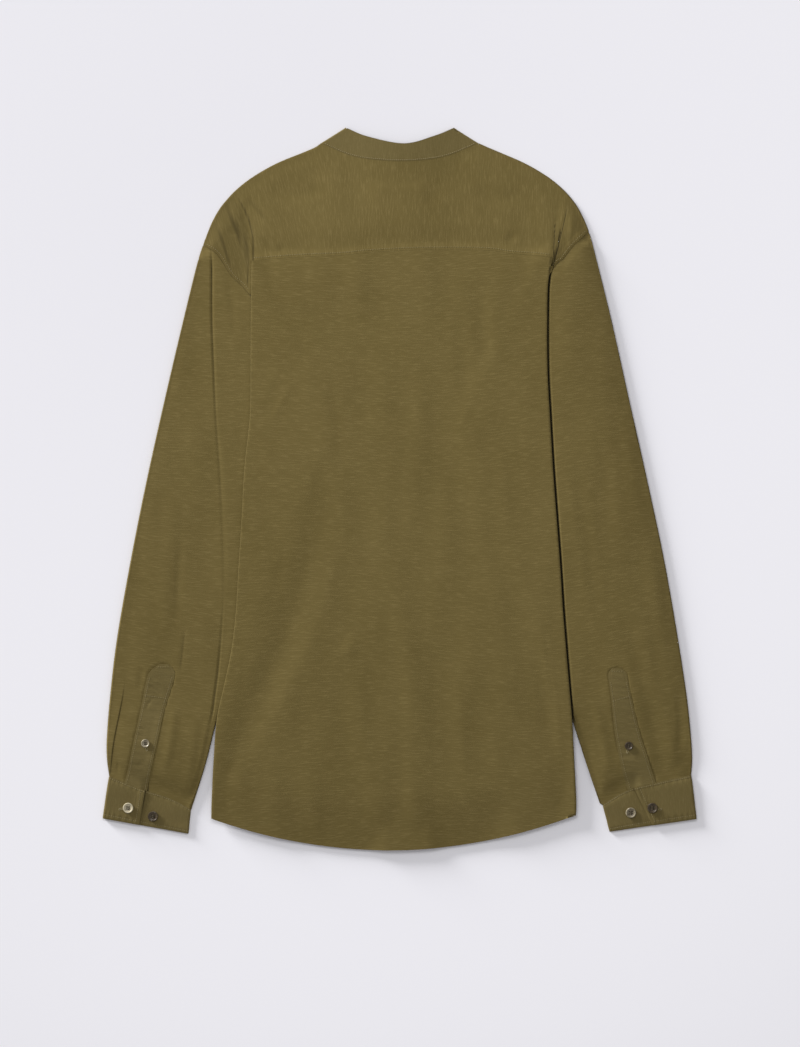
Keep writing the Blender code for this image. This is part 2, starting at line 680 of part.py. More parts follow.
def build_sleeve(side, cloth_material):
    """One sleeve: a flattened tube, open at the armhole and at the cuff."""
    rows, columns = 19, 10
    sign = SIGN[side]
    seam = CUFF[side]["seam"]
    top = np.vstack([visible_armhole(side, ARMHOLE_COLUMNS), hidden_armhole(side, columns - 3)[1:]])
    top[:, 1] -= 2.2 * GAP
    bottom = even(smooth_line(seam) + [0, 2 * GAP], columns)
    outer = even(part_of(outline[side], top[0, 1], bottom[0, 1]), rows)
    inner = even(part_of(sleeve_inner[side], top[-1, 1], bottom[-1, 1]), rows)
    outer[0], outer[-1] = top[0], bottom[0]
    inner[0], inner[-1] = top[-1], bottom[-1]
    plan = fill(top, bottom, outer, inner)
    outwards = unit(plan[:, 0] - plan[:, 1])
    inwards = unit(plan[:, -1] - plan[:, -2])
    plan[:, 0] -= outwards * FOLD_REACH
    plan[:, -1] -= inwards * FOLD_REACH
    lower = raised(plan, sleeve_height(side))
    upper = lower + [0, 0, PLY]
    upper[:, 1:-1, 2] += folds_height(SLEEVE_FOLDS, plan[:, 1:-1, 0], plan[:, 1:-1, 1])
    cloth = Cloth()
    cloth.add(upper)
    cloth.add(lower)
    for column, direction in ((0, outwards), (-1, inwards)):
        bend = fold_round(upper[:, column], lower[:, column], direction)
        strip = np.concatenate([upper[:, column][:, None], bend, lower[:, column][:, None]], axis=1)
        cloth.add(strip)
    return cloth.build("sleeve_" + side, cloth_material)


def build_cuff(side, cloth_material):
    """One barrel cuff: its upper half laps over its lower half, and two buttons are sewn on the lower."""
    wide, rows = 7, 5
    sign = SIGN[side]
    seam_line, edge_line = smooth_line(CUFF[side]["seam"]), smooth_line(CUFF[side]["edge"])
    lap = CUFF[side]["lap"]
    margin = (FOLD_REACH + PLY / 2) / CUFF_WIDTH
    layers = [
        (np.linspace(lap["seam"], margin, wide), np.linspace(lap["edge"], margin, wide), 2),
        (np.linspace(margin, 1 - margin, 2 * wide), np.linspace(margin, 1 - margin, 2 * wide), 0),
        (np.linspace(1 - margin, CUFF_UNDERLAP_END, 2 * wide),
         np.linspace(1 - margin, CUFF_UNDERLAP_END, 2 * wide), 1),
    ]
    share = np.linspace(0, 1, rows)[:, None, None]
    grids = []
    for seam_shares, edge_shares, level in layers:
        at_seam, at_edge = resample(seam_line, seam_shares), resample(edge_line, edge_shares)
        plan = (1 - share) * at_seam[None] + share * at_edge[None]
        grids.append(raised(plan, lambda x, y, level=level: np.full_like(x, level * PLY)))
    top, floor, middle = grids
    outwards = unit(floor[:, 0, :2] - floor[:, 1, :2])
    cloth = Cloth()
    cloth.add(top)
    cloth.add(floor)
    cloth.add(middle)
    outer_fold = (top[:, -1], floor[:, 0], outwards)
    inner_fold = (middle[:, 0], floor[:, -1], -outwards)
    for upper, lower, direction in (outer_fold, inner_fold):
        bend = fold_round(upper, lower, direction)
        strip = np.concatenate([upper[:, None], bend, lower[:, None]], axis=1)
        cloth.add(strip)
    return cloth.build("cuff_" + side, cloth_material)


def build_sleeve_placket(side, cloth_material):
    """The strip that finishes the slit of one sleeve, lying on it from its tip to the cuff."""
    rows, columns = 12, 4
    line_a, line_b = (smooth_line([Point(getattr(r, c), r.y) for r in PLACKET[side]]) for c in SIDES)
    ys = np.concatenate([[r.y for r in PLACKET[side][:3]],
                         np.linspace(PLACKET[side][2].y, PLACKET[side][-1].y, rows - 2)[1:]])
    cuff_line = smooth_line(CUFF[side]["seam"])
    share = np.linspace(0, 1, columns)[None, :]
    x = (1 - share) * x_at(line_a, ys)[:, None] + share * x_at(line_b, ys)[:, None]
    y = np.repeat(ys[:, None], columns, axis=1)
    y[-1] = y_at(cuff_line, x[-1]) + 2 * GAP
    y[-2] = (y[-3] + y[-1]) / 2
    plan = np.stack([x, y], axis=-1)
    on_sleeve = raised(plan, sleeve_height(side))
    on_sleeve[..., 2] += 2 * PLY + PLACKET_CLEARANCE + folds_height(SLEEVE_FOLDS, x, y)
    cloth = Cloth()
    cloth.add(on_sleeve)
    return cloth.build("sleeve_placket_" + side, cloth_material)


def build_button(name, x, y, z, radius, material):
    """A turned button: a round disc with a raised rim and a shallow dish."""
    angles = np.linspace(0, 2 * np.pi, BUTTON_SIDES, endpoint=False)
    rings = [[(x + out * radius * np.cos(a), y + out * radius * np.sin(a), z + up * BUTTON_THICK)
              for a in angles] for out, up in BUTTON_PROFILE]
    dish = z + BUTTON_PROFILE[-1].up * BUTTON_THICK
    points = [(x, y, z)] + [point for ring in rings for point in ring] + [(x, y, dish)]
    faces = []
    for i in range(BUTTON_SIDES):
        j = (i + 1) % BUTTON_SIDES
        faces.append((0, 1 + j, 1 + i))
        for ring in range(len(rings) - 1):
            base, above = 1 + ring * BUTTON_SIDES, 1 + (ring + 1) * BUTTON_SIDES
            faces.append((base + i, base + j, above + j, above + i))
        last = 1 + (len(rings) - 1) * BUTTON_SIDES
        faces.append((last + i, last + j, len(points) - 1))
    mesh = bpy.data.meshes.new(name)
    mesh.from_pydata([tuple(c * MM for c in p) for p in points], [], faces)
    mesh.materials.append(material)
    mesh.shade_smooth()
    piece = bpy.data.objects.new(name, mesh)
    bpy.context.scene.collection.objects.link(piece)
    return piece


def build_shirt():
    for stale in list(bpy.data.objects):
        bpy.data.objects.remove(stale)
    jersey = principled("jersey", OLIVE, 0.9)
    double = principled("double_jersey", OLIVE_DOUBLE, 0.9)
    horn = principled("horn", HORN, 0.3)
    build_back(jersey)
    build_yoke(jersey)
    build_collar(double)
    build_front_placket(double)
    for side in SIDES:
        build_front(side, jersey)
        build_sleeve(side, jersey)
        build_cuff(side, double)
        build_sleeve_placket(side, double)
    for button in SLEEVE_BUTTONS:
        height = button.layers * PLY + PLACKET_CLEARANCE
        build_button(button.name, button.x, button.y, height, button.radius, horn)
    for number in range(FRONT_BUTTONS):
        y = FRONT_BUTTON_TOP - number * FRONT_BUTTON_PITCH
        build_button(f"front_button_{number + 1}", x_at(centre_front, y), y, 0, BUTTON_RADIUS, horn)
    collar_y = FRONT_NECK_LOW + FRONT_BAND_HEIGHT / 2
    build_button("collar_button", x_at(centre_front, 330), collar_y, 0, BUTTON_RADIUS, horn)


build_shirt()
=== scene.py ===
"""The shirt as it is seen: slub jersey shells, seams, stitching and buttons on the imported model."""

from collections import namedtuple

import bmesh
import bpy
import numpy as np
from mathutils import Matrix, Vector


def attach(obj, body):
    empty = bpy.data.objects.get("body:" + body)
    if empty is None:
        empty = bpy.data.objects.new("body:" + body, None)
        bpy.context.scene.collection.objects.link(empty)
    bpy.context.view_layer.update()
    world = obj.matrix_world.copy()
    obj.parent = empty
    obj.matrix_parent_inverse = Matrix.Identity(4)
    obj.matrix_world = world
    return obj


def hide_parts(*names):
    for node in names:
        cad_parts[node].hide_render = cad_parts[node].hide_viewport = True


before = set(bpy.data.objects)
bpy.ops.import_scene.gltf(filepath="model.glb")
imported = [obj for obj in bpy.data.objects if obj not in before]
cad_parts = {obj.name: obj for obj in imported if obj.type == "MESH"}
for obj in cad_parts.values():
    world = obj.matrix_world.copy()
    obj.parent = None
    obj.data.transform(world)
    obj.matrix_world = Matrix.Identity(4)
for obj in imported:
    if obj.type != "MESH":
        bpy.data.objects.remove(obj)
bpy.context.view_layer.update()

# Fronts ------------------------------------------------------------------------------------------
# The two fronts are slub cotton jersey, cut single. They lie face down against the surface, and each
# turns round the body's side fold into a flap that runs in, hidden, to the side seam. The sizes in
# this file are in millimetres until a mesh is made; +Y points to the collar, and left is -X.

MM = 0.001
WALL, GAP = 1.0, 0.3
PLY = WALL + GAP
FOLD_REACH = PLY / 2 + WALL / 2
FOLD_STEPS, FOLD_SHADE = 5, 0.2
SIDES = ("left", "right")
SIGN = {"left": -1.0, "right": 1.0}

Point = namedtuple("Point", "x y")
Edge = namedtuple("Edge", "y left right")
Slope = namedtuple("Slope", "start reach")

OUTLINE = [
    Edge(380, -86.5, 87.0), Edge(375.5, -92.9, 97.0), Edge(370.2, -105.2, 109.6),
    Edge(358, -135.0, 137.6), Edge(344, -159.8, 161.6), Edge(331, -177.2, 178.0),
    Edge(318, -190.0, 189.8), Edge(305, -199.8, 198.4),
    Edge(285, -209.7, 207.2), Edge(252, -220.7, 216.0), Edge(186, -237.2, 232.5),
    Edge(98, -258.1, 252.3), Edge(10, -277.9, 272.1), Edge(-78, -295.5, 290.8),
    Edge(-166, -310.9, 306.2), Edge(-232, -318.6, 316.1), Edge(-276, -321.9, 320.5),
    Edge(-298, -321.6, 321.6), Edge(-314, -319.6, 320.6),
]
BODY_EDGE = [
    Edge(322, -183.3, 185.0), Edge(306, -172.6, 182.4), Edge(283, -165.2, 177.5),
    Edge(258, -162.4, 171.2), Edge(230, -162.8, 163.6), Edge(186, -163.4, 162.1),
    Edge(130, -163.6, 162.5), Edge(80, -164.4, 165.1), Edge(20, -170.6, 168.6),
    Edge(-34, -173.5, 172.6), Edge(-85, -176.8, 176.4), Edge(-130, -179.4, 179.2),
    Edge(-173, -184.0, 182.6), Edge(-215, -192.5, 186.2), Edge(-252, -200.6, 189.3),
    Edge(-298, -204.2, 191.8), Edge(-342, -206.4, 194.0), Edge(-362, -206.8, 193.6),
]
SIDE_SEAM = [Edge(58, -84.0, 78.0), Edge(-150, -119.0, 113.0), Edge(-350, -148.0, 136.0)]
ARMHOLE = {
    "left": [Point(-215.9, 268), Point(-200.5, 257.3), Point(-184.5, 233.5), Point(-164.5, 213),
             Point(-118, 146), Point(-84, 58)],
    "right": [Point(207.6, 282.5), Point(190.5, 266), Point(178.5, 250.5), Point(168.2, 240.5),
              Point(116, 158), Point(78, 58)],
}
FRONT_FOLD_TOP = {"left": 202.0, "right": 226.0}
FRONT_YOKE_SEAM = [Point(75, 350), Point(112, 333), Point(150, 309), Point(174, 284)]
CENTRE_FRONT = [Point(0, 330), Point(-3, 100), Point(-4, -40), Point(9, -392)]
HEM_LOW, HEM_BOW, HEM_CENTRE, SIDE_HEM_Y, FRONT_HEM_RISE = -397.0, 9.2e-4, -12.0, -361.0, 8.0
NECK_X, NECK_Y, FRONT_NECK_LOW, FRONT_BAND_HEIGHT, NECK_CURVE = 86.5, 380.0, 296.0, 28.0, 2.2
PLACKET_WIDTH, PLACKET_LAP, PLACKET_FADE, PLACKET_CLEARANCE = 35.0, 31.0, 32.0, 0.25
FRONT_INSET = 2.0
BUTTON_THICK = 2.0
BUTTON_ROOM = BUTTON_THICK + GAP


def smooth_line(points, samples=400):
    """A Catmull-Rom line through the points, as samples that are evenly spaced along it."""
    knots = np.array([(p.x, p.y) for p in points], float)
    padded = np.vstack([2 * knots[0] - knots[1], knots, 2 * knots[-1] - knots[-2]])
    share = np.linspace(0, 1, 40)[:, None]
    dense = [knots[:1]]
    for a, b, c, d in zip(padded, padded[1:], padded[2:], padded[3:]):
        piece = b + 0.5 * share * (c - a + share * (2 * a - 5 * b + 4 * c - d
                                                   + share * (3 * (b - c) + d - a)))
        dense.append(piece[1:])
    return resample(np.vstack(dense), np.linspace(0, 1, samples))


def resample(line, shares):
    """Points of the line at the given shares of its length."""
    steps = np.linalg.norm(np.diff(line, axis=0), axis=1)
    along = np.concatenate([[0], np.cumsum(steps)])
    wanted = np.asarray(shares) * along[-1]
    return np.column_stack([np.interp(wanted, along, line[:, axis]) for axis in range(line.shape[1])])


def even(line, count):
    return resample(line, np.linspace(0, 1, count))


def x_at(line, y):
    order = np.argsort(line[:, 1])
    return np.interp(y, line[order, 1], line[order, 0])


def y_at(line, x):
    order = np.argsort(line[:, 0])
    return np.interp(x, line[order, 0], line[order, 1])


def point_at_height(line, y):
    return np.array([x_at(line, y), y])


def part_of(line, high, low):
    """The stretch of a line that runs down from height high to height low."""
    inside = (line[:, 1] < high) & (line[:, 1] > low)
    return np.vstack([[point_at_height(line, high)], line[inside], [point_at_height(line, low)]])


def side_line(table, side):
    return smooth_line([Point(getattr(row, side), row.y) for row in table])


def ease(value):
    """0 up to 0, 1 from 1 on, and a smooth slope between."""
    t = np.clip(value, 0, 1)
    return t * t * (3 - 2 * t)


def climb(value, slope):
    """0 up to the slope's start, 1 from its reach beyond that on."""
    return ease((value - slope.start) / slope.reach)


def unit(vectors):
    return vectors / np.maximum(np.linalg.norm(vectors, axis=-1, keepdims=True), 1e-9)


outline = {side: side_line(OUTLINE, side) for side in SIDES}
body_edge = {side: side_line(BODY_EDGE, side) for side in SIDES}
side_seam = {side: side_line(SIDE_SEAM, side) for side in SIDES}
armhole = {side: smooth_line(ARMHOLE[side]) for side in SIDES}
centre_front = smooth_line(CENTRE_FRONT)


def hem_y(x):
    return HEM_LOW + HEM_BOW * (x - HEM_CENTRE) ** 2


def inward(line, side, x, y):
    """How far (x, y) lies inside the line, towards the middle of the shirt."""
    return SIGN[side] * (x_at(line, y) - x)


def closing(x, y, margin, fade=PLACKET_FADE):
    """1 over the front closing, easing to 0 beyond a margin beside it and above its collar button."""
    aside = np.abs(x - x_at(centre_front, y)) - PLACKET_WIDTH / 2 - margin
    above = y - FRONT_NECK_LOW - FRONT_BAND_HEIGHT - margin
    return (1 - ease(aside / fade)) * (1 - ease(above / fade))


def front_height(x, y):
    """Underside of the left front, which the buttons of the closing hold off the surface."""
    return BUTTON_ROOM * closing(x, y, 1)


def front_right_height(x, y):
    return (BUTTON_ROOM + PLY + PLACKET_CLEARANCE) * closing(x, y, 1)


def fill(top, bottom, first, last, spread=None):
    """A grid of points between four lines: rows run from top to bottom, columns from first to last.

    spread gives each column's share of the way across, if they aren't even.
    """
    u = (np.linspace(0, 1, len(top)) if spread is None else spread)[None, :, None]
    v = np.linspace(0, 1, len(first))[:, None, None]
    corners = ((1 - u) * (1 - v) * top[0] + u * (1 - v) * top[-1]
               + (1 - u) * v * bottom[0] + u * v * bottom[-1])
    return between(top, bottom, v[:, 0, 0]) + (1 - u) * first[:, None] + u * last[:, None] - corners


def between(first, last, shares):
    """Points between each point of one line and its partner: a row for each share of the way."""
    shares = shares[:, None, None]
    return (1 - shares) * first[None] + shares * last[None]


def level(height):
    return lambda x, y: np.full_like(x, height)


def raised(plan, height):
    """Plan points given the height of their layer's underside, plus half the wall."""
    z = height(plan[..., 0], plan[..., 1]) + WALL / 2
    return np.concatenate([plan, z[..., None]], axis=-1)


def folded(upper, lower, outwards):
    """A strip of points round the fold from each upper edge point to the lower one beneath it."""
    angles = np.linspace(0, np.pi, FOLD_STEPS + 2)
    middle, half = (upper + lower) / 2, (upper - lower) / 2
    reach = np.concatenate([outwards, np.zeros_like(outwards[..., :1])], axis=-1)
    radius = np.linalg.norm(half, axis=-1, keepdims=True)
    turn = [middle + half * np.cos(a) + reach * radius * np.sin(a) for a in angles]
    turn[0], turn[-1] = upper, lower
    return np.stack(turn, axis=1)


def placed(name, data):
    """A new object of the scene that holds the data."""
    made = bpy.data.objects.new(name, data)
    bpy.context.scene.collection.objects.link(made)
    return made


def marked(mesh, name, values):
    """Stores a number at each point of the mesh, for its material to read."""
    mesh.attributes.new(name, "FLOAT", "POINT").data.foreach_set("value", values)


class Shell:
    """Grids of a cloth's middle surface, with their place in the knit, made one thin closed wall."""

    def __init__(self):
        self.points, self.grain, self.crevice, self.faces, self.count = [], [], [], [], 0

    # Each grid may bring painted shade for its points, which darkens the cloth's colour in its creases,
    # folds and gaps.
    def add(self, grid, grain=None, crevice=None):
        rows, columns = grid.shape[:2]
        numbers = self.count + np.arange(rows * columns).reshape(rows, columns)
        corners = (numbers[:-1, :-1], numbers[:-1, 1:], numbers[1:, 1:], numbers[1:, :-1])
        self.faces += np.stack(corners, axis=-1).reshape(-1, 4).tolist()
        self.points.append(grid.reshape(-1, 3))
        self.grain.append((grid[..., :2] if grain is None else grain).reshape(-1, 2))
        self.crevice.append(np.zeros(rows * columns) if crevice is None else crevice.reshape(-1))
        self.count += rows * columns

    def add_fold(self, strip, grain):
        """The turn of a pressed fold, with painted shade that makes it a little darker than the cloth
        beside it.
        """
        self.add(strip, grain, np.full(strip.shape[:2], FOLD_SHADE))

    def build(self, name, material):
        mesh = bpy.data.meshes.new(name)
        mesh.from_pydata((np.concatenate(self.points) * MM).tolist(), [], self.faces)
        grain = np.concatenate(self.grain) * MM
        layer = mesh.attributes.new("grain", "FLOAT_VECTOR", "POINT")
        layer.data.foreach_set("vector", np.column_stack([grain, np.zeros(len(grain))]).ravel())
        marked(mesh, "crevice", np.concatenate(self.crevice))
        surface = bmesh.new()
        surface.from_mesh(mesh)
        bmesh.ops.remove_doubles(surface, verts=surface.verts, dist=2e-5)
        bmesh.ops.dissolve_degenerate(surface, edges=surface.edges, dist=1e-6)
        bmesh.ops.recalc_face_normals(surface, faces=surface.faces)
        for edge in surface.edges:
            edge.smooth = not edge.is_boundary
        surface.to_mesh(mesh)
        surface.free()
        mesh.materials.append(material)
        mesh.shade_smooth()
        piece = placed(name, mesh)
        wall = piece.modifiers.new("wall", "SOLIDIFY")
        wall.thickness = WALL * MM
        wall.offset = 0
        return piece


def feed(made, inputs):
    """Gives inputs of a node, by name or number, their values, or links them to the outputs given."""
    for key, value in inputs.items():
        if isinstance(value, bpy.types.NodeSocket):
            made.id_data.links.new(value, made.inputs[key])
        else:
            made.inputs[key].default_value = value


def node(tree, kind, place, inputs=None, **settings):
    """A node of the tree, with its own settings and what its inputs get."""
    made = tree.nodes.new(kind)
    made.location = place
    for name, value in settings.items():
        setattr(made, name, value)
    feed(made, inputs or {})
    return made


def new_material(name):
    """A material, its tree and its shader."""
    material = bpy.data.materials.new(name)
    material.use_nodes = True
    return material, material.node_tree, material.node_tree.nodes["Principled BSDF"]


def maths(tree, operation, place, *values):
    """The output of one sum, whose values are numbers or other outputs."""
    made = node(tree, "ShaderNodeMath", place, dict(enumerate(values)), operation=operation)
    return made.outputs["Value"]


def rise(tree, place, value, low, high):
    """0 up to low, 1 from high on, and a smooth slope between."""
    made = node(tree, "ShaderNodeMapRange", place, {"Value": value, "From Min": low, "From Max": high},
                interpolation_type="SMOOTHSTEP")
    return made.outputs["Result"]


def blend(tree, place, factor, first, second):
    """The first colour where the factor is 0, the second where it is 1."""
    made = node(tree, "ShaderNodeMix", place, {"Factor": factor, 6: first, 7: second},
                data_type="RGBA")
    return made.outputs[2]


def bumped(tree, place, height, strength, distance):
    """The normal that a small relief gives, distance being the height in metres that 1 stands for."""
    made = node(tree, "ShaderNodeBump", place,
                {"Height": height, "Strength": strength, "Distance": distance})
    return made.outputs["Normal"]


# The parts of the knit's pattern beside its slubs: how often each repeats in a metre, along the
# courses and across them, its detail, and how far it shifts the tone
Part = namedtuple("Part", "repeats detail weight")
BROAD_STREAKS, CLOUDS = Part((18.0, 90.0), 2.0, 0.45), Part((9.0, 7.0), 2.0, 0.5)
FUZZ, RIBS = Part((1500.0, 1500.0), 1.0, 0.2), 370.0
# The last is how much of the dark colour is left where painted shade in creases and gaps is full.
SLUB_RISE, FUZZ_RISE, RIB_RISE, PAINTED_SHADE_TONE = 0.9, 0.5, 0.35, 0.06
SHEEN_TINT = (0.62, 0.56, 0.42, 1)


def knit(name, dark, light, streak, slub_strength, roughness):
    """Slub jersey: streaks of thicker yarn along the courses, over fine ribs of knit stitches.

    streak is the usual length and thickness of a slub in metres.
    """
    material, tree, shader = new_material(name)
    grain = node(tree, "ShaderNodeAttribute", (-1500, 0), attribute_name="grain").outputs["Vector"]

    def noise(down, repeats, detail):
        spread = node(tree, "ShaderNodeMapping", (-1300, down),
                      {"Scale": (*repeats, 1), "Vector": grain})
        made = node(tree, "ShaderNodeTexNoise", (-1100, down),
                    {"Scale": 1.0, "Detail": detail, "Roughness": 0.55, "Vector": spread.outputs[0]})
        return made.outputs["Fac"]

    slub = rise(tree, (-900, 300), noise(300, (1 / streak[0], 1 / streak[1]), 3.0), 0.44, 0.74)
    tone = maths(tree, "MULTIPLY_ADD", (-650, 300), slub, slub_strength, 0.5 - slub_strength / 2)
    for part, down, at, then in ((BROAD_STREAKS, 60, (-650, 100), (-480, 200)),
                                 (CLOUDS, -180, (-650, -60), (-310, 100)),
                                 (FUZZ, -420, (-650, -220), (-140, 60))):
        grey = noise(down, part.repeats, part.detail)
        shift = maths(tree, "SUBTRACT", at, grey, 0.5)
        tone = maths(tree, "MULTIPLY_ADD", then, shift, part.weight, tone)
    fuzz = grey  # the last of the three also gives relief
    ribs = node(tree, "ShaderNodeTexWave", (-900, -640),
                {"Scale": RIBS, "Distortion": 1.2, "Vector": grain}, bands_direction="X")
    colour = blend(tree, (60, 200), tone, (*dark, 1), (*light, 1))
    # painted shade: where the mesh asks for it, the colour goes towards a near-black of the dark tone,
    # in creases, folds and gaps
    crevice = node(tree, "ShaderNodeAttribute", (60, 420), attribute_name="crevice")
    shade = (*[c * PAINTED_SHADE_TONE for c in dark], 1)
    height = maths(tree, "MULTIPLY_ADD", (-480, -400), slub, SLUB_RISE,
                   maths(tree, "MULTIPLY", (-650, -500), fuzz, FUZZ_RISE))
    height = maths(tree, "MULTIPLY_ADD", (-310, -400), ribs.outputs["Fac"], RIB_RISE, height)
    feed(shader, {"Base Color": blend(tree, (260, 300), crevice.outputs["Fac"], colour, shade),
                  "Normal": bumped(tree, (60, -300), height, 0.5, 0.00016), "Roughness": roughness,
                  "Sheen Weight": 0.08, "Sheen Roughness": 0.5, "Sheen Tint": SHEEN_TINT,
                  "Specular IOR Level": 0.12})
    return material


jersey = knit("slub_jersey", dark=(0.119, 0.088, 0.0268), light=(0.172, 0.130, 0.0465),
              streak=(0.012, 0.0015), slub_strength=0.62, roughness=0.92)


def tucked_flap(side, edge, columns, hem_rise):
    """Plan points of the cloth that turns in from the body's fold to the side seam or the armhole."""
    hidden = armhole[side][armhole[side][:, 1] < ARMHOLE[side][3].y]
    inner_x = np.where(edge[:, 1] > SIDE_SEAM[0].y, x_at(hidden, edge[:, 1]),
                       x_at(side_seam[side], edge[:, 1]))
    inner = np.column_stack([inner_x, edge[:, 1]])
    inner[-1, 1] = hem_y(2 * edge[-1, 0] - inner[-1, 0]) + hem_rise
    return between(edge, inner, np.linspace(0, 1, columns)).swapaxes(0, 1)


def front_yoke_seam(side, count):
    """The seam between yoke and front, from the neck to the armhole."""
    end = ARMHOLE[side][1]
    inner = [Point(SIGN[side] * p.x, p.y) for p in FRONT_YOKE_SEAM]
    return even(smooth_line(inner + [Point(end.x - SIGN[side] * FRONT_INSET, end.y)]), count)


def line_across(start, end, count, height):
    """A line from one point to another, at the height() of each x between them."""
    x = np.linspace(start[0], end[0], count)
    line = np.column_stack([x, height(x)])
    line[0], line[-1] = start, end
    return line


def neck_curve(x, low, half_width, high):
    return low + (high - low) * np.abs(x / half_width) ** NECK_CURVE


# A crease runs along its path with a crest or, below 0, a trough. left and right are how far it
# reaches on either side of the path, as seen by someone who walks along it; start and end are the
# shares of its length over which it rises and dies away; shade is how dark a pinched one is inside.
Crease = namedtuple("Crease", "path height left right start end shade", defaults=(0.3, 0.3, 0.0))
CREASE_PLACES, CREASE_MARGIN = 60, 4
FRONT_CREASES = [
    # soft ridges between the surface and the folded layers, on the side that lies face down
    Crease([(-150, -300), (-122, -200), (-98, -90)], 1.0, 16, 22),
    Crease([(-104, 60), (-86, 140), (-58, 220)], 0.8, 12, 18),
    Crease([(-66, -340), (-56, -260), (-52, -180)], 0.6, 14, 10),
    Crease([(142, -280), (118, -180), (106, -60)], 0.9, 18, 14),
    Crease([(124, 176), (92, 148), (56, 136)], 0.7, 10, 14),
    Crease([(64, -340), (68, -250), (62, -170)], 0.6, 12, 16),
]


def reached(crease, x, y):
    """Which points lie near a crease, how far aside of it they are, and its strength beside each."""
    line = even(smooth_line([Point(*p) for p in crease.path], 200), CREASE_PLACES)
    reach = max(crease.left, crease.right) + CREASE_MARGIN
    near = ((x > line[:, 0].min() - reach) & (x < line[:, 0].max() + reach)
            & (y > line[:, 1].min() - reach) & (y < line[:, 1].max() + reach))
    px, py = x[near], y[near]
    tangents = unit(np.gradient(line, axis=0))
    step = np.linalg.norm(line[1] - line[0])
    closest = np.argmin((px[:, None] - line[:, 0]) ** 2 + (py[:, None] - line[:, 1]) ** 2, axis=1)
    dx, dy = px - line[closest, 0], py - line[closest, 1]
    tx, ty = tangents[closest, 0], tangents[closest, 1]
    along = (closest + (dx * tx + dy * ty) / step) / (len(line) - 1)
    return near, dx * ty - dy * tx, ease(along / crease.start) * ease((1 - along) / crease.end)


def creased(creases, x, y):
    """The height that the creases give at each (x, y)."""
    total = np.zeros_like(x)
    for crease in creases:
        near, aside, strength = reached(crease, x, y)
        side_reach = np.where(aside > 0, crease.right, crease.left)
        total[near] += crease.height * strength * (1 - ease(np.abs(aside) / side_reach))
    return total


def build_front(side):
    shoulder_columns, neck_columns, arm_rows, side_rows, flap_columns = 28, 22, 20, 120, 8
    sign = SIGN[side]
    centre_x = x_at(centre_front, 300)
    if side == "left":
        centre_side, height = -PLACKET_WIDTH / 2 - GAP, front_height
    else:
        centre_side, height = PLACKET_WIDTH / 2 - PLACKET_LAP, front_right_height
    shoulder = front_yoke_seam(side, shoulder_columns)[::-1] - [0, 3 * GAP]
    neck_x = np.linspace(sign * (FRONT_YOKE_SEAM[0].x - 2), centre_x + centre_side, neck_columns)
    neck = np.column_stack([neck_x, neck_curve(neck_x, FRONT_NECK_LOW, NECK_X, NECK_Y) - 2 * GAP])
    top = np.vstack([shoulder, neck])
    arm = even(part_of(armhole[side], shoulder[0, 1] - 0.01, FRONT_FOLD_TOP[side]), arm_rows)
    arm[:, 0] -= sign * 2 * GAP
    arm[0] = shoulder[0]
    down = np.linspace(FRONT_FOLD_TOP[side], SIDE_HEM_Y, side_rows)[1:]
    fold = np.array([point_at_height(body_edge[side], y) for y in down])
    fold[:, 0] -= sign * (FRONT_INSET + FOLD_REACH)
    outer = np.vstack([arm, fold])
    outer[-1, 1] = hem_y(outer[-1, 0]) + FRONT_HEM_RISE
    down_share = (outer[:, 1] - outer[0, 1]) / (outer[-1, 1] - outer[0, 1])
    inner_y = top[-1, 1] + down_share * (hem_y(centre_side) + FRONT_HEM_RISE - top[-1, 1])
    inner = np.column_stack([x_at(centre_front, inner_y) + centre_side, inner_y])
    inner[0] = top[-1]
    hem = line_across(outer[-1], inner[-1], len(top), lambda x: hem_y(x) + FRONT_HEM_RISE)
    panel = raised(fill(top, hem, outer, inner), height)
    panel[..., 2] += creased(FRONT_CREASES, panel[..., 0], panel[..., 1])
    cloth = Shell()
    cloth.add(panel)
    lower = panel[arm_rows:, 0]
    upper = lower + [0, 0, PLY]
    cloth.add(folded(upper, lower, np.tile([sign, 0.0], (len(lower), 1))))
    flap = raised(tucked_flap(side, upper[:, :2], flap_columns, FRONT_HEM_RISE), level(PLY))
    flap[:, 0] = upper
    cloth.add(flap)
    return cloth.build("front_panel_" + side, jersey)


for side, width in (("left", 0.245), ("right", 0.28)):
    front = build_front(side)
    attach(front, "root")
    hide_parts("front_" + side)


# Front placket -----------------------------------------------------------------------------------
# The placket is a strip of double jersey that closes the left front over the right one, down the
# middle of the underside. It is folded at both edges and stitched down 3 mm in from each. Six
# buttonholes run along it, for the buttons that face the surface.

double_jersey = knit("slub_jersey_double", dark=(0.115, 0.087, 0.030), light=(0.163, 0.126, 0.050),
                     streak=(0.010, 0.0008), slub_strength=0.55, roughness=0.9)

STITCH_PITCH, STITCH_LENGTH, THREAD_RADIUS, THREAD_SINK = 2.6, 1.8, 0.23, 0.05
SHORTEST, LONGEST = 0.86, 1.08
PLACKET_STITCH_INSET, THREAD_TWIST, THREAD_DARK, THREAD_LIGHT = 3.0, 2600.0, 0.82, 1.15


def thread_finish(name, colour):
    """Mercerised sewing thread: twisted plies with a faint shine."""
    material, tree, shader = new_material(name)
    place = node(tree, "ShaderNodeTexCoord", (-900, 0))
    twist = node(tree, "ShaderNodeTexNoise", (-700, 0),
                 {"Scale": THREAD_TWIST, "Detail": 1.0,
                  "Vector": place.outputs["Object"]}).outputs["Fac"]
    dark, light = ((*[c * share for c in colour], 1) for share in (THREAD_DARK, THREAD_LIGHT))
    feed(shader, {"Base Color": blend(tree, (-450, 0), twist, dark, light),
                  "Normal": bumped(tree, (-450, -250), twist, 0.3, 0.0001), "Roughness": 0.6})
    return material


olive_thread = thread_finish("olive_thread", (0.25, 0.205, 0.10))


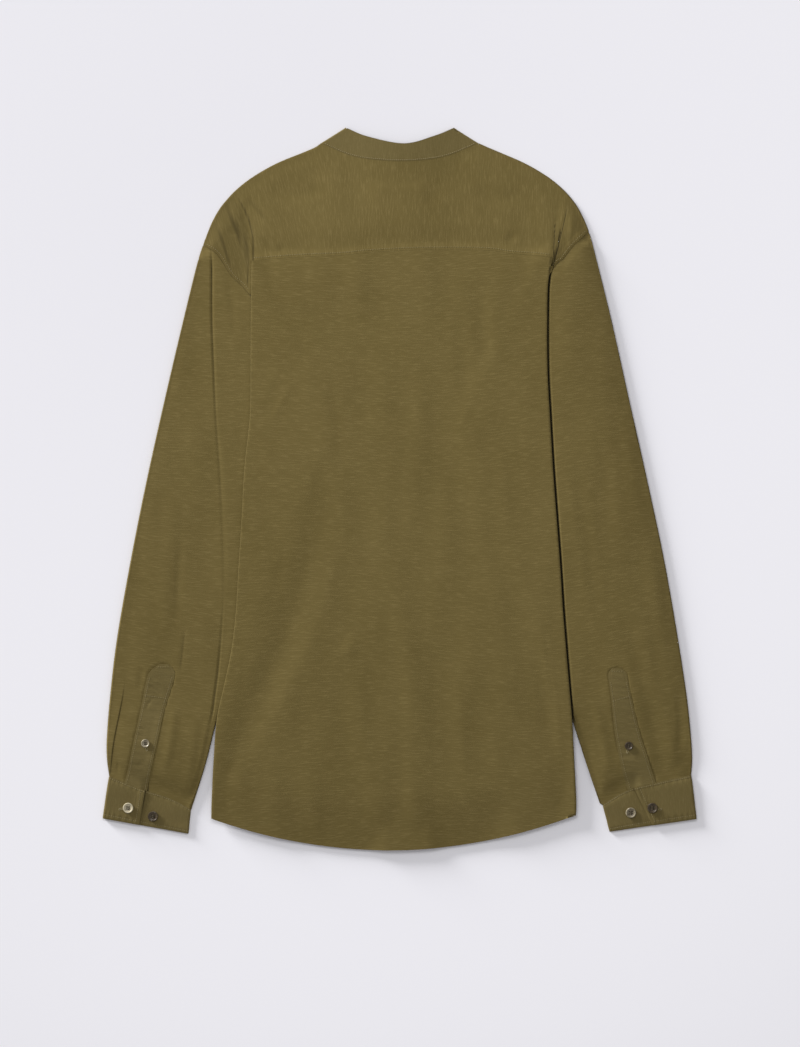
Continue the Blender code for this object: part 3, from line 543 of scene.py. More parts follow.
def stitch_tree():
    """Lays a short stitch of thread at every pitch along the edges of a mesh."""
    tree = bpy.data.node_groups.new("stitches", "GeometryNodeTree")
    face = tree.interface
    face.new_socket("Geometry", in_out="INPUT", socket_type="NodeSocketGeometry")
    for name, value in (("Pitch", STITCH_PITCH * MM), ("Stitch Length", STITCH_LENGTH * MM),
                        ("Thread Radius", THREAD_RADIUS * MM)):
        face.new_socket(name, in_out="INPUT", socket_type="NodeSocketFloat").default_value = value
    face.new_socket("Thread", in_out="INPUT", socket_type="NodeSocketMaterial")
    face.new_socket("Seed", in_out="INPUT", socket_type="NodeSocketInt").default_value = 7
    face.new_socket("Geometry", in_out="OUTPUT", socket_type="NodeSocketGeometry")
    given = node(tree, "NodeGroupInput", (-1100, 0)).outputs
    path = node(tree, "GeometryNodeMeshToCurve", (-900, 100), {"Mesh": given["Geometry"]})
    spaced = node(tree, "GeometryNodeResampleCurve", (-700, 100),
                  {"Curve": path.outputs["Curve"], "Length": given["Pitch"]}, mode="LENGTH")
    bead = node(tree, "GeometryNodeMeshUVSphere", (-700, -150),
                {"Segments": 6, "Rings": 4, "Radius": 1.0})
    half = maths(tree, "MULTIPLY", (-900, -320), given["Stitch Length"], 0.5)
    size = node(tree, "ShaderNodeCombineXYZ", (-700, -320),
                {"X": half, "Y": given["Thread Radius"], "Z": given["Thread Radius"]})
    shaped = node(tree, "GeometryNodeTransform", (-480, -150),
                  {"Geometry": bead.outputs["Mesh"], "Scale": size.outputs["Vector"]})
    tangent = node(tree, "GeometryNodeInputTangent", (-700, -500))
    turned = node(tree, "FunctionNodeAlignRotationToVector", (-480, -450),
                  {"Vector": tangent.outputs["Tangent"]}, axis="X")
    wander = node(tree, "FunctionNodeRandomValue", (-480, -650),
                  {2: SHORTEST, 3: LONGEST, "Seed": given["Seed"]}, data_type="FLOAT")
    laid = node(tree, "GeometryNodeInstanceOnPoints", (-100, 100),
                {"Points": spaced.outputs["Curve"], "Instance": shaped.outputs["Geometry"],
                 "Rotation": turned.outputs["Rotation"], "Scale": wander.outputs[1]})
    real = node(tree, "GeometryNodeRealizeInstances", (120, 100),
                {"Geometry": laid.outputs["Instances"]})
    smooth = node(tree, "GeometryNodeSetShadeSmooth", (320, 100),
                  {"Geometry": real.outputs["Geometry"]})
    sewn = node(tree, "GeometryNodeSetMaterial", (560, 100),
                {"Geometry": smooth.outputs["Geometry"], "Material": given["Thread"]})
    node(tree, "NodeGroupOutput", (900, 0), {"Geometry": sewn.outputs["Geometry"]})
    return tree


stitching = stitch_tree()


def made_plain(thing):
    """The mesh that an object's modifiers make of it, which takes the place of both."""
    graph = bpy.context.evaluated_depsgraph_get()
    graph.update()
    mesh = bpy.data.meshes.new_from_object(thing.evaluated_get(graph), depsgraph=graph)
    thing.modifiers.clear()
    bpy.data.objects.remove(thing)
    return mesh


def stitched(name, lines, thread, seed, pitch=STITCH_PITCH, length=STITCH_LENGTH,
             radius=THREAD_RADIUS):
    """One piece that holds the stitches along all these lines of (x, y, z) points."""
    points, edges = [], []
    for line in lines:
        edges += [(len(points) + i, len(points) + i + 1) for i in range(len(line) - 1)]
        points += (np.asarray(line) * MM).tolist()
    path = bpy.data.meshes.new(name + "_path")
    path.from_pydata(points, edges, [])
    guide = placed(name + "_path", path)
    sewing = guide.modifiers.new("sewing", "NODES")
    sewing.node_group = stitching
    sockets = {item.name: item.identifier for item in stitching.interface.items_tree
               if item.in_out == "INPUT"}
    for socket, value in (("Pitch", pitch * MM), ("Stitch Length", length * MM), ("Seed", seed),
                          ("Thread Radius", radius * MM), ("Thread", thread)):
        sewing[sockets[socket]] = value
    mesh = made_plain(guide)
    mesh.name = name
    return placed(name, mesh)


def on_cloth(line, top):
    """The line's (x, y) points laid on the face of the cloth whose outer side top() gives."""
    return np.column_stack([line, top(line[:, 0], line[:, 1]) + THREAD_RADIUS - THREAD_SINK])


def under_cloth(line, underside):
    return np.column_stack([line, underside(line[:, 0], line[:, 1]) - THREAD_RADIUS + THREAD_SINK])


rows, columns = 230, 15
ys = np.linspace(FRONT_NECK_LOW - 2 * GAP, hem_y(0) + FRONT_HEM_RISE, rows)
offsets = np.linspace(-PLACKET_WIDTH / 2, PLACKET_WIDTH / 2, columns)
plan = np.stack([x_at(centre_front, ys)[:, None] + offsets[None],
                 np.repeat(ys[:, None], columns, axis=1)], axis=-1)
cloth = Shell()
cloth.add(raised(plan, front_height), plan[..., ::-1])
placket = cloth.build("front_placket_strip", double_jersey)
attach(placket, "root")
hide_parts("front_placket")

stitch_out = PLACKET_WIDTH / 2 - PLACKET_STITCH_INSET
edge_lines = [under_cloth(np.column_stack([x_at(centre_front, ys) + aside, ys]), front_height)
              for aside in (-stitch_out, stitch_out)]
placket_stitches = stitched("front_placket_stitches", edge_lines, olive_thread, 11)
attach(placket_stitches, "root")

# Sleeves -----------------------------------------------------------------------------------------
# Each sleeve is one panel of the same jersey, sewn along the underarm into a tube and set to a
# dropped shoulder. Laid flat it is two layers, with soft folds where the tube has been pressed. Its
# inner part runs under the body's side fold, so a strip of it shows beside the body.

SLEEVE_INNER = [
    Edge(58, -86.0, 80.0), Edge(0, -114.0, 107.0), Edge(-80, -145.5, 138.0), Edge(-166, -175.5, 166.0),
    Edge(-251, -201.0, 189.6), Edge(-298, -211.9, 203.9), Edge(-342, -225.6, 218.8),
    Edge(-350, -228.3, 221.6),
]
SLEEVE_FADE, SHOULDER_FADE, SEAM_GAP, SEAM_SHADE = 30.0, 42.0, 0.1, 0.22
SLEEVE_RISE, SLEEVE_LOFT = {"left": -0.7, "right": 3.8}, 1.3
SLEEVE_ROLL = {"left": 3.0, "right": 1.8}
# From the cuff up: the layers part, the fold at the outline opens, and both lie beside the body.
# Below the armhole the fold closes again.
LAYERS_PART, PUFF_STARTS = Slope(0, 40), Slope(1, 22)
BESIDE_BODY, LOW_LOFT = Slope(-262, 24), Slope(-290, 70)
ROLL_ENDS, ARMHOLE_SINKS = Slope(1, 18), Slope(0, 16)
# From the outline in: how soon the upper layer rises and swells. From the shown edge out: the same,
# and the gap by the body's fold on the right, with the shade in it.
OUTER_LOFT, OUTER_SWELL = Slope(0, 24), Slope(0, 14)
INNER_LOFT, INNER_RISE, SOFT_STRIP = Slope(-1, 18), Slope(-1, 10), Slope(110, 90)
GAP_WALL, GAP_SHADE = Slope(1.5, 1.2), Slope(1.8, 1.0)
GAP_SHADE_FROM, GAP_SHADE_UP = Slope(-4, 2), Slope(-262, 12)
GROOVE_WIDTH, GROOVE_SHADE_WIDTH, SEAM_SHADE_WIDTH, SLEEVE_CURVE = 2.5, 1.6, 1.5, 3.8
STRIP_RISE, SOFT_STRIP_RISE, FOLD_RISE, CLOSED_FOLD_RISE, SOFT_BEND = 0.9, 6, 3.5, 14, 0.4
CUFF_STEP, PLACKET_STEP, UNDER_STRIP = 0.3, 0.5, Slope(-0.5, 1.4)
SLEEVE_TOP_Y, SLEEVE_END_Y, SHOWN_MARGIN, LEAST_TUCKED = 285, -352, 0.5, 3
COURSE_WAVE, WAVE_ACROSS, WAVE_DOWN = 4, 55, 130
CUFF_SEAM = {
    "left": [Point(-319.4, -316.2), Point(-284, -330.5), Point(-254, -340), Point(-229, -353)],
    "right": [Point(320.6, -314.6), Point(284, -322.6), Point(250, -331.6), Point(222.6, -347.9)],
}
CUFF_LAP_X = {"left": -281.5, "right": 261.5}
PLACKET = {
    "left": [Edge(-192.5, -264, -254), Edge(-200, -273.5, -247.8), Edge(-210, -278, -248.2),
             Edge(-243, -284.6, -258.6), Edge(-278, -292.4, -266.8), Edge(-305, -298.4, -274.4),
             Edge(-318, -302.6, -277.6)],
    "right": [Edge(-197, 233, 243), Edge(-202, 229.2, 248.6), Edge(-210, 229.4, 250.4),
              Edge(-233, 232.5, 255.2), Edge(-266, 236.2, 263.3), Edge(-298, 243.4, 274.4),
              Edge(-316, 250.6, 281.4)],
}
PLACKET_RECESS, LAP_SPREAD, ARMHOLE_DIP = 0.95, 9.0, 0.88
placket_edges = {side: [side_line(PLACKET[side], edge) for edge in SIDES] for side in SIDES}
sleeve_inner = {side: side_line(SLEEVE_INNER, side) for side in SIDES}
cuff_seam = {side: smooth_line(CUFF_SEAM[side]) for side in SIDES}

SLEEVE_CREASES = {
    "left": [
        Crease([(-192, -122), (-192.5, -84), (-194.3, -34), (-197, 16), (-202, 82)],
               -0.2, 4.5, 5, 0.25, 0.2),
        Crease([(-181, 160), (-184, 198), (-187.7, 236)], -0.4, 5, 6),
        Crease([(-244.9, -148), (-244, -100), (-240.5, -40)], -0.35, 5, 9, 0.3, 0.5),
        Crease([(-243, -202), (-239, -172), (-235, -144)], -0.3, 2, 4, 0.2, 0.4, 0.3),
        Crease([(-262, -190), (-256, -110), (-247, 10)], 0.4, 14, 14),
        Crease([(-319.0, -314), (-314.7, -278), (-305.5, -231), (-302, -205)],
               0.45, 10, 1.6, 0.03, 0.4, 0.8),
        Crease([(-311, -314), (-309, -300)], -0.5, 3, 4),
        Crease([(-285, -224), (-282.9, -193)], -0.4, 6, 6),
        Crease([(-228, -330), (-222, -290), (-214, -240)], -0.4, 8, 8),
        Crease([(-262, -320), (-252, -280), (-246, -230)], 0.5, 8, 8),
        # under the free edge of the placket
        Crease([(-263.6, -262), (-258.8, -241)], -0.1, 2.4, 2.4, 0.4, 0.2, 0.55),
        Crease([(-278.4, -335), (-277.7, -318), (-273.6, -298)], -0.1, 3, 3, 0.05, 0.6, 0.9),
    ],
    "right": [
        Crease([(291, -316), (278, -252), (259, -178), (248, -120)], -0.8, 14, 16, 0.1, 0.5),
        Crease([(300, -250), (288, -150), (270, -60)], 0.5, 14, 16),
        Crease([(232, -318), (222, -270), (210, -215)], 0.5, 9, 10, 0.2, 0.5),
        Crease([(222, -160), (206, -60), (192, 40)], -0.4, 12, 12),
        Crease([(244, -70), (234, 30), (222, 110)], 0.3, 14, 12),
        Crease([(304, -300), (309, -262), (305, -210)], -0.4, 7, 8),
    ],
}

UNDER_CREASES = {
    "left": [Crease([(-268, -190), (-252, -90), (-240, 20)], 0.8, 12, 16),
             Crease([(-246, 40), (-236, 90), (-222, 150)], 0.5, 10, 10)],
    "right": [Crease([(262, -170), (250, -90), (238, 0)], 0.7, 14, 12),
              Crease([(232, 30), (222, 90), (206, 150)], 0.5, 10, 12)],
}

# A line down each sleeve along which its points are set close. On the left one a pressed crease
# follows it, as deep at each height as PRESSED_DEPTH tells.
PRESSED = [
    Edge(262, -207.0, 196.0), Edge(246, -206.6, 192.0), Edge(186, -206.4, 186.0),
    Edge(130, -204.2, 184.0), Edge(81, -202.0, 184.5), Edge(16, -197.4, 189.0),
    Edge(-34, -194.8, 192.0), Edge(-84, -193.4, 195.0),
    Edge(-122, -193.8, 198.5), Edge(-160, -196.0, 202.0), Edge(-200, -199.6, 206.5),
    Edge(-229, -203.4, 211.0), Edge(-251, -206.6, 214.0), Edge(-298, -216.6, 222.0),
    Edge(-350, -230.0, 234.0),
]
Depth = namedtuple("Depth", "y groove")
PRESSED_DEPTH = [Depth(-258, 0.1), Depth(-244, 1.0), Depth(-200, 0.9), Depth(-170, 0.4),
                 Depth(-120, 0.05), Depth(-40, 0.05), Depth(60, 0.25), Depth(110, 0.5),
                 Depth(180, 0.9), Depth(240, 1.1), Depth(262, 0.3)]
pressed = {side: side_line(PRESSED, side) for side in SIDES}
Swell = namedtuple("Swell", "height across down beat phase")
PINCH, WIDEST_PINCH, PINCH_SHARE, COURSE_LEAN, PRESSED_SHADE = 0.8, 4.0, 0.45, 0.09, 0.45
SWELLS = [Swell(0.22, 83, 610, 417, 0.4), Swell(0.17, 57, -730, 290, 1.9),
          Swell(0.12, 38, 520, 233, 3.1), Swell(0.10, -190, 143, 377, 4.6)]
BEAT_PHASE, BEAT_DRIFT = 1.7, 160


def pinched(creases, x, y):
    """How deep in shade the cloth lies inside the sharp creases."""
    total = np.zeros_like(x)
    for crease in creases:
        if crease.shade:
            near, aside, strength = reached(crease, x, y)
            half = np.clip(PINCH_SHARE * min(crease.left, crease.right), PINCH, WIDEST_PINCH)
            total[near] += crease.shade * strength * (1 - ease(np.abs(aside - half) / half))
    return total


def undulating(x, y):
    """A slow, uneven swell, drawn out down the shirt."""
    return sum(swell.height * np.sin(2 * np.pi * (x / swell.across + y / swell.down) + swell.phase)
               * np.sin(2 * np.pi * y / swell.beat + BEAT_PHASE * swell.phase + x / BEAT_DRIFT)
               for swell in SWELLS)


def soft_floor(height):
    """Heights that never go below 0, with a soft bend there."""
    return 0.5 * (height + np.sqrt(height ** 2 + SOFT_BEND ** 2) - SOFT_BEND)


def past_fold(side, x, y):
    """How far (x, y) lies outside the body's fold."""
    return -inward(body_edge[side], side, x, y)


def over_front_fold(side, x, y):
    """1 over the folded side of the front, easing to 0 outwards and towards the shoulder."""
    outwards = 1 - ease((past_fold(side, x, y) - 1) / SLEEVE_FADE)
    upwards = 1 - ease((y - FRONT_FOLD_TOP[side] - 3) / SHOULDER_FADE)
    return outwards * upwards


def sleeve_height(side):
    """Underside of the sleeve's lower layer."""
    return lambda x, y: 2 * PLY * over_front_fold(side, x, y) + creased(UNDER_CREASES[side], x, y)


def shown_edge(side, y):
    """How far from the middle the shown part of the sleeve begins: at the body's fold, or its own."""
    return np.maximum(SIGN[side] * x_at(body_edge[side], y), SIGN[side] * x_at(sleeve_inner[side], y))


def past_shown_edge(side, x, y):
    return SIGN[side] * x - shown_edge(side, y)


def above_cuff(side, x, y):
    return y - y_at(cuff_seam[side], x)


def below_armhole(side, x, y):
    return y_at(armhole[side], x) - y


def groove(x, y, width):
    """The pressed crease down the left sleeve: how deep it is at (x, y) if it is this wide."""
    depth = np.interp(y, *zip(*PRESSED_DEPTH))
    return depth * (1 - ease(np.abs(x - x_at(pressed["left"], y)) / width))


def placket_rim(side, x, y):
    """How far (x, y) lies inside the outline of the sleeve's placket."""
    left, right = (x_at(line, y) for line in placket_edges[side])
    return np.minimum(np.minimum(x - left, right - x), PLACKET[side][0].y - y)


def under_placket(side, x, y):
    """1 where the sleeve sinks under its placket, which so lies level with the cloth round it."""
    return climb(placket_rim(side, x, y), UNDER_STRIP)


def sleeve_body(side, x, y):
    """How far the sleeve's layers stand apart above the cuff."""
    return SLEEVE_ROLL[side] * climb(above_cuff(side, x, y), LAYERS_PART)


def sleeve_roll(side, x, y):
    """How far the fold at the sleeve's outline stands open, between the cuff and the armhole."""
    return sleeve_body(side, x, y) * climb(below_armhole(side, x, y), ROLL_ENDS)


def sleeve_top(side, x, y):
    """The height that the sleeve's upper layer would take if it lay over its lower layer alone."""
    from_outline = inward(outline[side], side, x, y)
    from_inner = past_shown_edge(side, x, y)
    share = np.clip(from_outline / np.maximum(from_outline + from_inner, 1), 0, 1)
    slope = share if side == "left" else 1 - (1 - share) ** SLEEVE_CURVE
    alone = climb(from_outline, OUTER_LOFT) * climb(from_inner, INNER_LOFT)
    beside_body = climb(y, LOW_LOFT)
    return PLY + sleeve_body(side, x, y) + SLEEVE_RISE[side] * slope * beside_body \
        + SLEEVE_LOFT * alone * (1 - beside_body)


def armhole_sink(distance):
    """The cloth on either side of the armhole seam dips a little towards it."""
    return ARMHOLE_DIP + (1 - ARMHOLE_DIP) * climb(distance, ARMHOLE_SINKS)


def sleeve_puff(side, x, y):
    """How far the sleeve's upper layer stands off the lower one, beyond the gap between them."""
    from_outline = inward(outline[side], side, x, y)
    from_inner, from_armhole = past_shown_edge(side, x, y), below_armhole(side, x, y)
    beside_body = climb(y, BESIDE_BODY)
    if side == "left":
        # the strip beside the body meets its fold; a pressed crease runs down it
        at_body = climb(from_inner, Slope(-0.5, STRIP_RISE + SOFT_STRIP_RISE * climb(y, SOFT_STRIP)))
        pressed_in = groove(x, y, GROOVE_WIDTH)
    else:
        # a deep, narrow gap lies along the body's fold
        at_body, pressed_in = climb(from_inner, GAP_WALL), 0
    inner_edge = beside_body * at_body + (1 - beside_body) * climb(from_inner, INNER_RISE)
    inner_edge = inner_edge * np.where(from_armhole < -0.5, 0, armhole_sink(from_armhole))
    flat = sleeve_top(side, x, y) - sleeve_height(side)(x, y) - PLY
    shape = creased(SLEEVE_CREASES[side], x, y) + undulating(x, y) * climb(from_outline, OUTER_SWELL)
    # at the cuff it comes down to the cuff's own upper layer
    under = under_placket(side, x, y)
    puff = soft_floor(flat + shape - pressed_in) - PLACKET_RECESS * under
    at_cuff = PLY * over_lap(side, x) - CUFF_STEP - PLACKET_STEP * under
    puff = at_cuff + (puff - at_cuff) * climb(above_cuff(side, x, y), PUFF_STARTS)
    roll = sleeve_roll(side, x, y)
    # where the fold at the outline is closed the cloth rises more slowly from it
    closed = 1 - roll / SLEEVE_ROLL[side]
    outer_edge = climb(from_outline, Slope(0, FOLD_RISE + CLOSED_FOLD_RISE * closed))
    return inner_edge * (roll + outer_edge * (puff - roll))


def over_lap(side, x):
    """1 where the outer half of the cuff lies, easing to 0 over the inner half."""
    return ease(SIGN[side] * (x - CUFF_LAP_X[side]) / LAP_SPREAD + 0.5)


def fold_shade(side, x, y):
    """How deep in shade the cloth lies at the bottom of its narrow folds, and in the armhole seam."""
    seam = SEAM_SHADE * (1 - ease(below_armhole(side, x, y) / SEAM_SHADE_WIDTH))
    shade = pinched(SLEEVE_CREASES[side], x, y) + seam * (y < ARMHOLE[side][0].y - 3)
    if side == "left":
        return shade + PRESSED_SHADE * groove(x, y, GROOVE_SHADE_WIDTH)
    from_inner = past_shown_edge(side, x, y)
    return shade + (1 - climb(from_inner, GAP_SHADE)) * climb(from_inner, GAP_SHADE_FROM) \
        * climb(y, GAP_SHADE_UP)


def sleeve_upper(side):
    """Underside of the sleeve's upper layer."""
    base = sleeve_height(side)
    return lambda x, y: base(x, y) + PLY + sleeve_puff(side, x, y)


def crowded(count, strength=0.75):
    """Shares from 0 to 1 that lie close at both ends: at 0.75, four times as close as even ones."""
    share = np.linspace(0, 1, count)
    return share - strength * np.sin(2 * np.pi * share) / (2 * np.pi)


def crowded_outside(count):
    """Shares from 0 to 1 that lie closest where the outer fold is, and at the end."""
    share = np.linspace(0, 1, count)
    return np.interp(share, [0, 0.4, 0.85, 1], [0, 0.17, 0.93, 1])


def crossing(line, seam):
    """The share of a seam's length at which a line down the sleeve meets it."""
    return np.argmin(np.abs(x_at(line, seam[:, 1]) - seam[:, 0])) / (len(seam) - 1)


def build_sleeve(side):
    rows, under_columns, sign = 250, 16, SIGN[side]
    spreads = crowded_outside(96), crowded(20), np.linspace(0, 1, 9) ** 3
    heights = np.linspace(SLEEVE_TOP_Y, SLEEVE_END_Y, 500)
    shown_x = np.maximum(shown_edge(side, heights) + SHOWN_MARGIN,
                         sign * x_at(sleeve_inner[side], heights) + LEAST_TUCKED)
    lines = [outline[side], pressed[side], np.column_stack([sign * shown_x, heights]),
             sleeve_inner[side]]
    cuff_line = cuff_seam[side] + [0, 2 * GAP]
    starts, stops = ([0.0] + [crossing(line, seam) for line in lines[1:-1]] + [1.0]
                     for seam in (armhole[side], cuff_line))
    patches, before = [], None
    for i, spread in enumerate(spreads):
        top = resample(armhole[side], starts[i] + spread * (starts[i + 1] - starts[i])) - [0, SEAM_GAP]
        bottom = resample(cuff_line, stops[i] + spread * (stops[i + 1] - stops[i]))
        first = even(part_of(lines[i], top[0, 1], bottom[0, 1]), rows) if before is None else before
        last = even(part_of(lines[i + 1], top[-1, 1], bottom[-1, 1]), rows)
        first[0], first[-1], last[0], last[-1] = top[0], bottom[0], top[-1], bottom[-1]
        grid = fill(top, bottom, first, last, spread)
        patches.append(grid if i == 0 else grid[:, 1:])
        before = last
    plan = np.concatenate(patches, axis=1)
    tangents = [unit(np.gradient(plan[:, column], axis=0)) for column in (0, -1)]
    outwards, inwards = (turn * np.column_stack([-tangent[:, 1], tangent[:, 0]])
                         for turn, tangent in zip((sign, -sign), tangents))
    roll = sleeve_roll(side, plan[:, 0, 0], plan[:, 0, 1])
    plan[:, 0] -= outwards * (FOLD_REACH + roll / 2)[:, None]
    plan[:, -1] -= inwards * FOLD_REACH
    plan[:, 1] = (plan[:, 0] + plan[:, 2]) / 2
    x, y = plan[..., 0], plan[..., 1]
    waved = COURSE_WAVE * np.sin(x / WAVE_ACROSS + y / WAVE_DOWN)
    grain = np.stack([x, y - sign * COURSE_LEAN * x + waved], axis=-1)
    lower, upper = raised(plan, sleeve_height(side)), raised(plan, sleeve_upper(side))
    upper[:, 0, 2] = lower[:, 0, 2] + PLY + roll
    upper[:, -1, 2] = lower[:, -1, 2] + PLY
    cloth = Shell()
    cloth.add(upper, grain, fold_shade(side, x, y))
    few = np.unique(np.linspace(0, plan.shape[1] - 1, under_columns).astype(int))
    cloth.add(lower[:, few], grain[:, few])
    for column, direction in ((0, outwards), (-1, inwards)):
        strip = folded(upper[:, column], lower[:, column], direction)
        cloth.add_fold(strip, np.repeat(grain[:, column][:, None], strip.shape[1], axis=1))
    return cloth.build("sleeve_panel_" + side, jersey)


for side in SIDES:
    sleeve = build_sleeve(side)
    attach(sleeve, "root")
    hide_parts("sleeve_" + side)

# Back --------------------------------------------------------------------------------------------
# The back is one panel of single jersey, its courses running across. It lies uppermost over fronts
# and sleeves, turns under at a pressed fold down each side, and ends in a shallow curved hem. A long
# crease runs from its middle down to the left corner of the hem.

# How the layers that are tucked in die away: inwards, above the armhole and below the yoke
TUCK_ENDS, TUCK_ARMHOLE, TUCK_TOP = Slope(6, 46), Slope(14, 44), Slope(252, 44)
NECK_SPRING, NECK_SPREAD, NECK_RISES = 3.3, Slope(4, 84), Slope(286, 40)
CLOSING_MARGIN, CLOSING_CLEARANCE, CLOSING_SPREAD, SPAN_BEND, NECK_BEND = 2.0, 0.1, 36.0, 1.2, 0.4
BACK_LIFT, YOKE_LIFT, LIFT_CHANGES = 6.6, 2.1, Slope(225, 110)
YOKE_DOME, DOME_X, DOME_SPREAD, CREST_SHARE, SHAPE_GAIN = 3.1, -12, 140.0, 0.3, 1.6
# How soon the cloth rises from the shoulder line, the hem and the folds at the sides, and where the
# shoulder starts to hold it up instead
TOP_RISES, HEM_RISES = Slope(0, 58), Slope(-26, 90)
SIDE_RISES, HELD_FROM = Slope(-2, 34), Slope(256, 24)
SHOULDER_HELD = {"left": 0.75, "right": 1.0}
COURSE_SWAY, SWAY_ACROSS, SWAY_DOWN, SWAY_PHASE, WALE_SWAY, WALE_BEAT = 7, 75, 150, 0.6, 2, 47
YOKE_SEAM = [Point(-163.0, 250.5), Point(-110, 254.5), Point(-64, 256.5), Point(-34, 259.5),
             Point(22, 262.2), Point(92, 262), Point(121, 258.5), Point(150, 256.3), Point(168, 254)]
BACK_COLLAR_SEAM = [Point(-86.5, 380), Point(-51, 365.5), Point(-15, 360.4), Point(20, 360.6),
                    Point(52, 366), Point(86.5, 380)]
yoke_seam = smooth_line(YOKE_SEAM)
collar_seam = smooth_line(BACK_COLLAR_SEAM)
BODY_CREASES = [
    # the long diagonal trough and the crest beside it
    Crease([(-210, -332), (-191, -296), (-159, -233), (-122, -160), (-99, -78), (-72, 12)],
           -1.1, 24, 30, 0.1, 0.4),
    Crease([(-166, -320), (-136, -245), (-106, -175), (-87, -100), (-73, -20)],
           0.3, 20, 30, 0.15, 0.5),
    Crease([(-60, 10), (-72, 70), (-76, 120)], -0.4, 14, 14, 0.4, 0.4),
    # the ridge down the middle of the lower half
    Crease([(17, -394), (15, -300), (13, -200), (7, -60)], 0.6, 19, 26, 0.1, 0.6),
    # the slanting fold by the left edge, and soft ones below the yoke
    Crease([(-153, 72), (-137, 104), (-116, 140)], -0.8, 9, 12, 0.3, 0.4),
    Crease([(-143, 70), (-127, 102), (-108, 132)], 0.35, 8, 12, 0.3, 0.4),
    Crease([(108, 110), (103, 170), (97, 228)], 0.5, 14, 18, 0.35, 0.35),
    Crease([(74, 96), (68, 160), (64, 214)], -0.4, 14, 14, 0.35, 0.35),
    Crease([(103, 20), (97, 48), (90, 70)], -0.6, 14, 14, 0.45, 0.45),
    Crease([(120, -60), (114, 0), (112, 60)], 0.4, 14, 14, 0.4, 0.4),
    Crease([(-112, 60), (-104, 110), (-100, 160)], 0.35, 12, 14, 0.4, 0.4),
    # pulls that run up from the lower right, and the fine ones by the right-hand fold
    Crease([(150, -330), (128, -250), (104, -160), (92, -80)], 0.5, 26, 44, 0.3, 0.4),
    Crease([(168, -300), (160, -230), (146, -150)], -0.6, 14, 12, 0.35, 0.5),
    Crease([(180, -262), (173, -210), (167, -170)], -0.5, 4, 5, 0.3, 0.4),
    Crease([(172, -250), (164, -190), (158, -140)], -0.35, 4, 5, 0.3, 0.5),
    Crease([(-50, -330), (-58, -240), (-52, -170)], -0.45, 20, 20, 0.4, 0.4),
    Crease([(-60, -190), (-54, -172), (-46, -158)], 0.45, 12, 14, 0.45, 0.45),
    Crease([(60, -360), (52, -250), (46, -150)], -0.35, 22, 18, 0.3, 0.5),
    Crease([(-22, -90), (-12, 0), (-8, 80)], 0.35, 18, 18, 0.4, 0.4),
    Crease([(40, -60), (36, 40), (42, 130)], -0.25, 18, 18, 0.4, 0.4),
    # drag lines by the bottom right corner
    Crease([(176, -357), (186, -340), (191, -318)], -0.5, 2.6, 3, 0.3, 0.3),
    Crease([(168, -355), (181, -335), (187, -308)], -0.35, 3, 3, 0.3, 0.3),
    # the top of the gap beside the right-hand fold
    Crease([(162.6, 234), (163.8, 246), (165.6, 258)], -0.1, 4, 4, 0.2, 0.1, 0.9),
]
YOKE_CREASES = [
    # where the sleeve head folds away outside the body's fold
    Crease([(-163, 236), (-162.5, 254), (-163.5, 281), (-171.5, 305), (-183, 325)],
           -0.6, 7, 3.6, 0.05, 0.25, 0.6),
    Crease([(-165, 240), (-173, 258), (-184, 285), (-192, 304), (-199, 320)],
           -0.35, 9, 9, 0.1, 0.45, 0.38),
    Crease([(-169, 218), (-170, 245), (-173, 268), (-181, 290)], -0.1, 9, 9, 0.15, 0.4, 0.38),
    Crease([(-148, 288), (-158, 303), (-172, 318)], -0.35, 12, 12, 0.3, 0.3, 0.15),
    Crease([(-187, 240), (-191, 251), (-195, 264), (-203, 288), (-207, 297)],
           -0.4, 6, 6, 0.25, 0.4, 0.3),
    Crease([(-205, 268), (-203, 282), (-201, 294)], -0.4, 3.5, 4, 0.3, 0.3),
    Crease([(165.8, 236), (170.2, 254), (176.2, 277.5), (182, 303), (184.5, 318)],
           -0.3, 1.5, 1.8, 0.02, 0.25, 0.9),
    Crease([(166.6, 240), (168.2, 258), (169.3, 280), (170.4, 300)],
           -0.3, 1.5, 1.8, 0.02, 0.25, 0.9),
    Crease([(165.4, 238), (166.8, 246), (168, 254)], -0.3, 3.2, 3.4, 0.05, 0.5, 0.95),
    Crease([(184, 262), (188, 284), (190, 304)], 0.4, 5, 6, 0.3, 0.3),
    # soft pulls from the collar to the shoulders
    Crease([(-150, 332), (-112, 322), (-76, 330)], -0.4, 14, 14),
    Crease([(140, 326), (108, 318), (76, 332)], -0.4, 14, 14),
    Crease([(118, 266), (123, 276), (126, 286)], -0.6, 8, 8, 0.45, 0.45),
    Crease([(-134, 256), (-130, 262), (-126, 270)], -0.5, 8, 8, 0.45, 0.45),
    Crease([(40, 372), (47, 384), (52, 392)], -0.6, 7, 6, 0.4, 0.4),
]


def above_armhole(side, x, y):
    """How far (x, y) lies above the armhole, as a straight line from the body's fold to the armpit."""
    top, armpit = ARMHOLE[side][3], ARMHOLE[side][-1]
    along = unit(np.array([armpit.x - top.x, armpit.y - top.y]))
    return SIGN[side] * ((x - top.x) * along[1] - (y - top.y) * along[0])


def tuck(side, x, y, inner_line):
    """1 over the layers tucked in outside inner_line, easing to 0 inwards and above the armhole."""
    inwards = 1 - climb(inward(inner_line, side, x, y), TUCK_ENDS)
    return inwards * (1 - climb(above_armhole(side, x, y), TUCK_ARMHOLE)) * (1 - climb(y, TUCK_TOP))


def layers_below(x, y):
    """The height of what is tucked in between the surface and the back along its two sides."""
    plies = 1
    for side in SIDES:
        plies = plies + 2 * tuck(side, x, y, side_seam[side])
        plies = plies + 2 * tuck(side, x, y, sleeve_inner[side])
    return PLY * plies


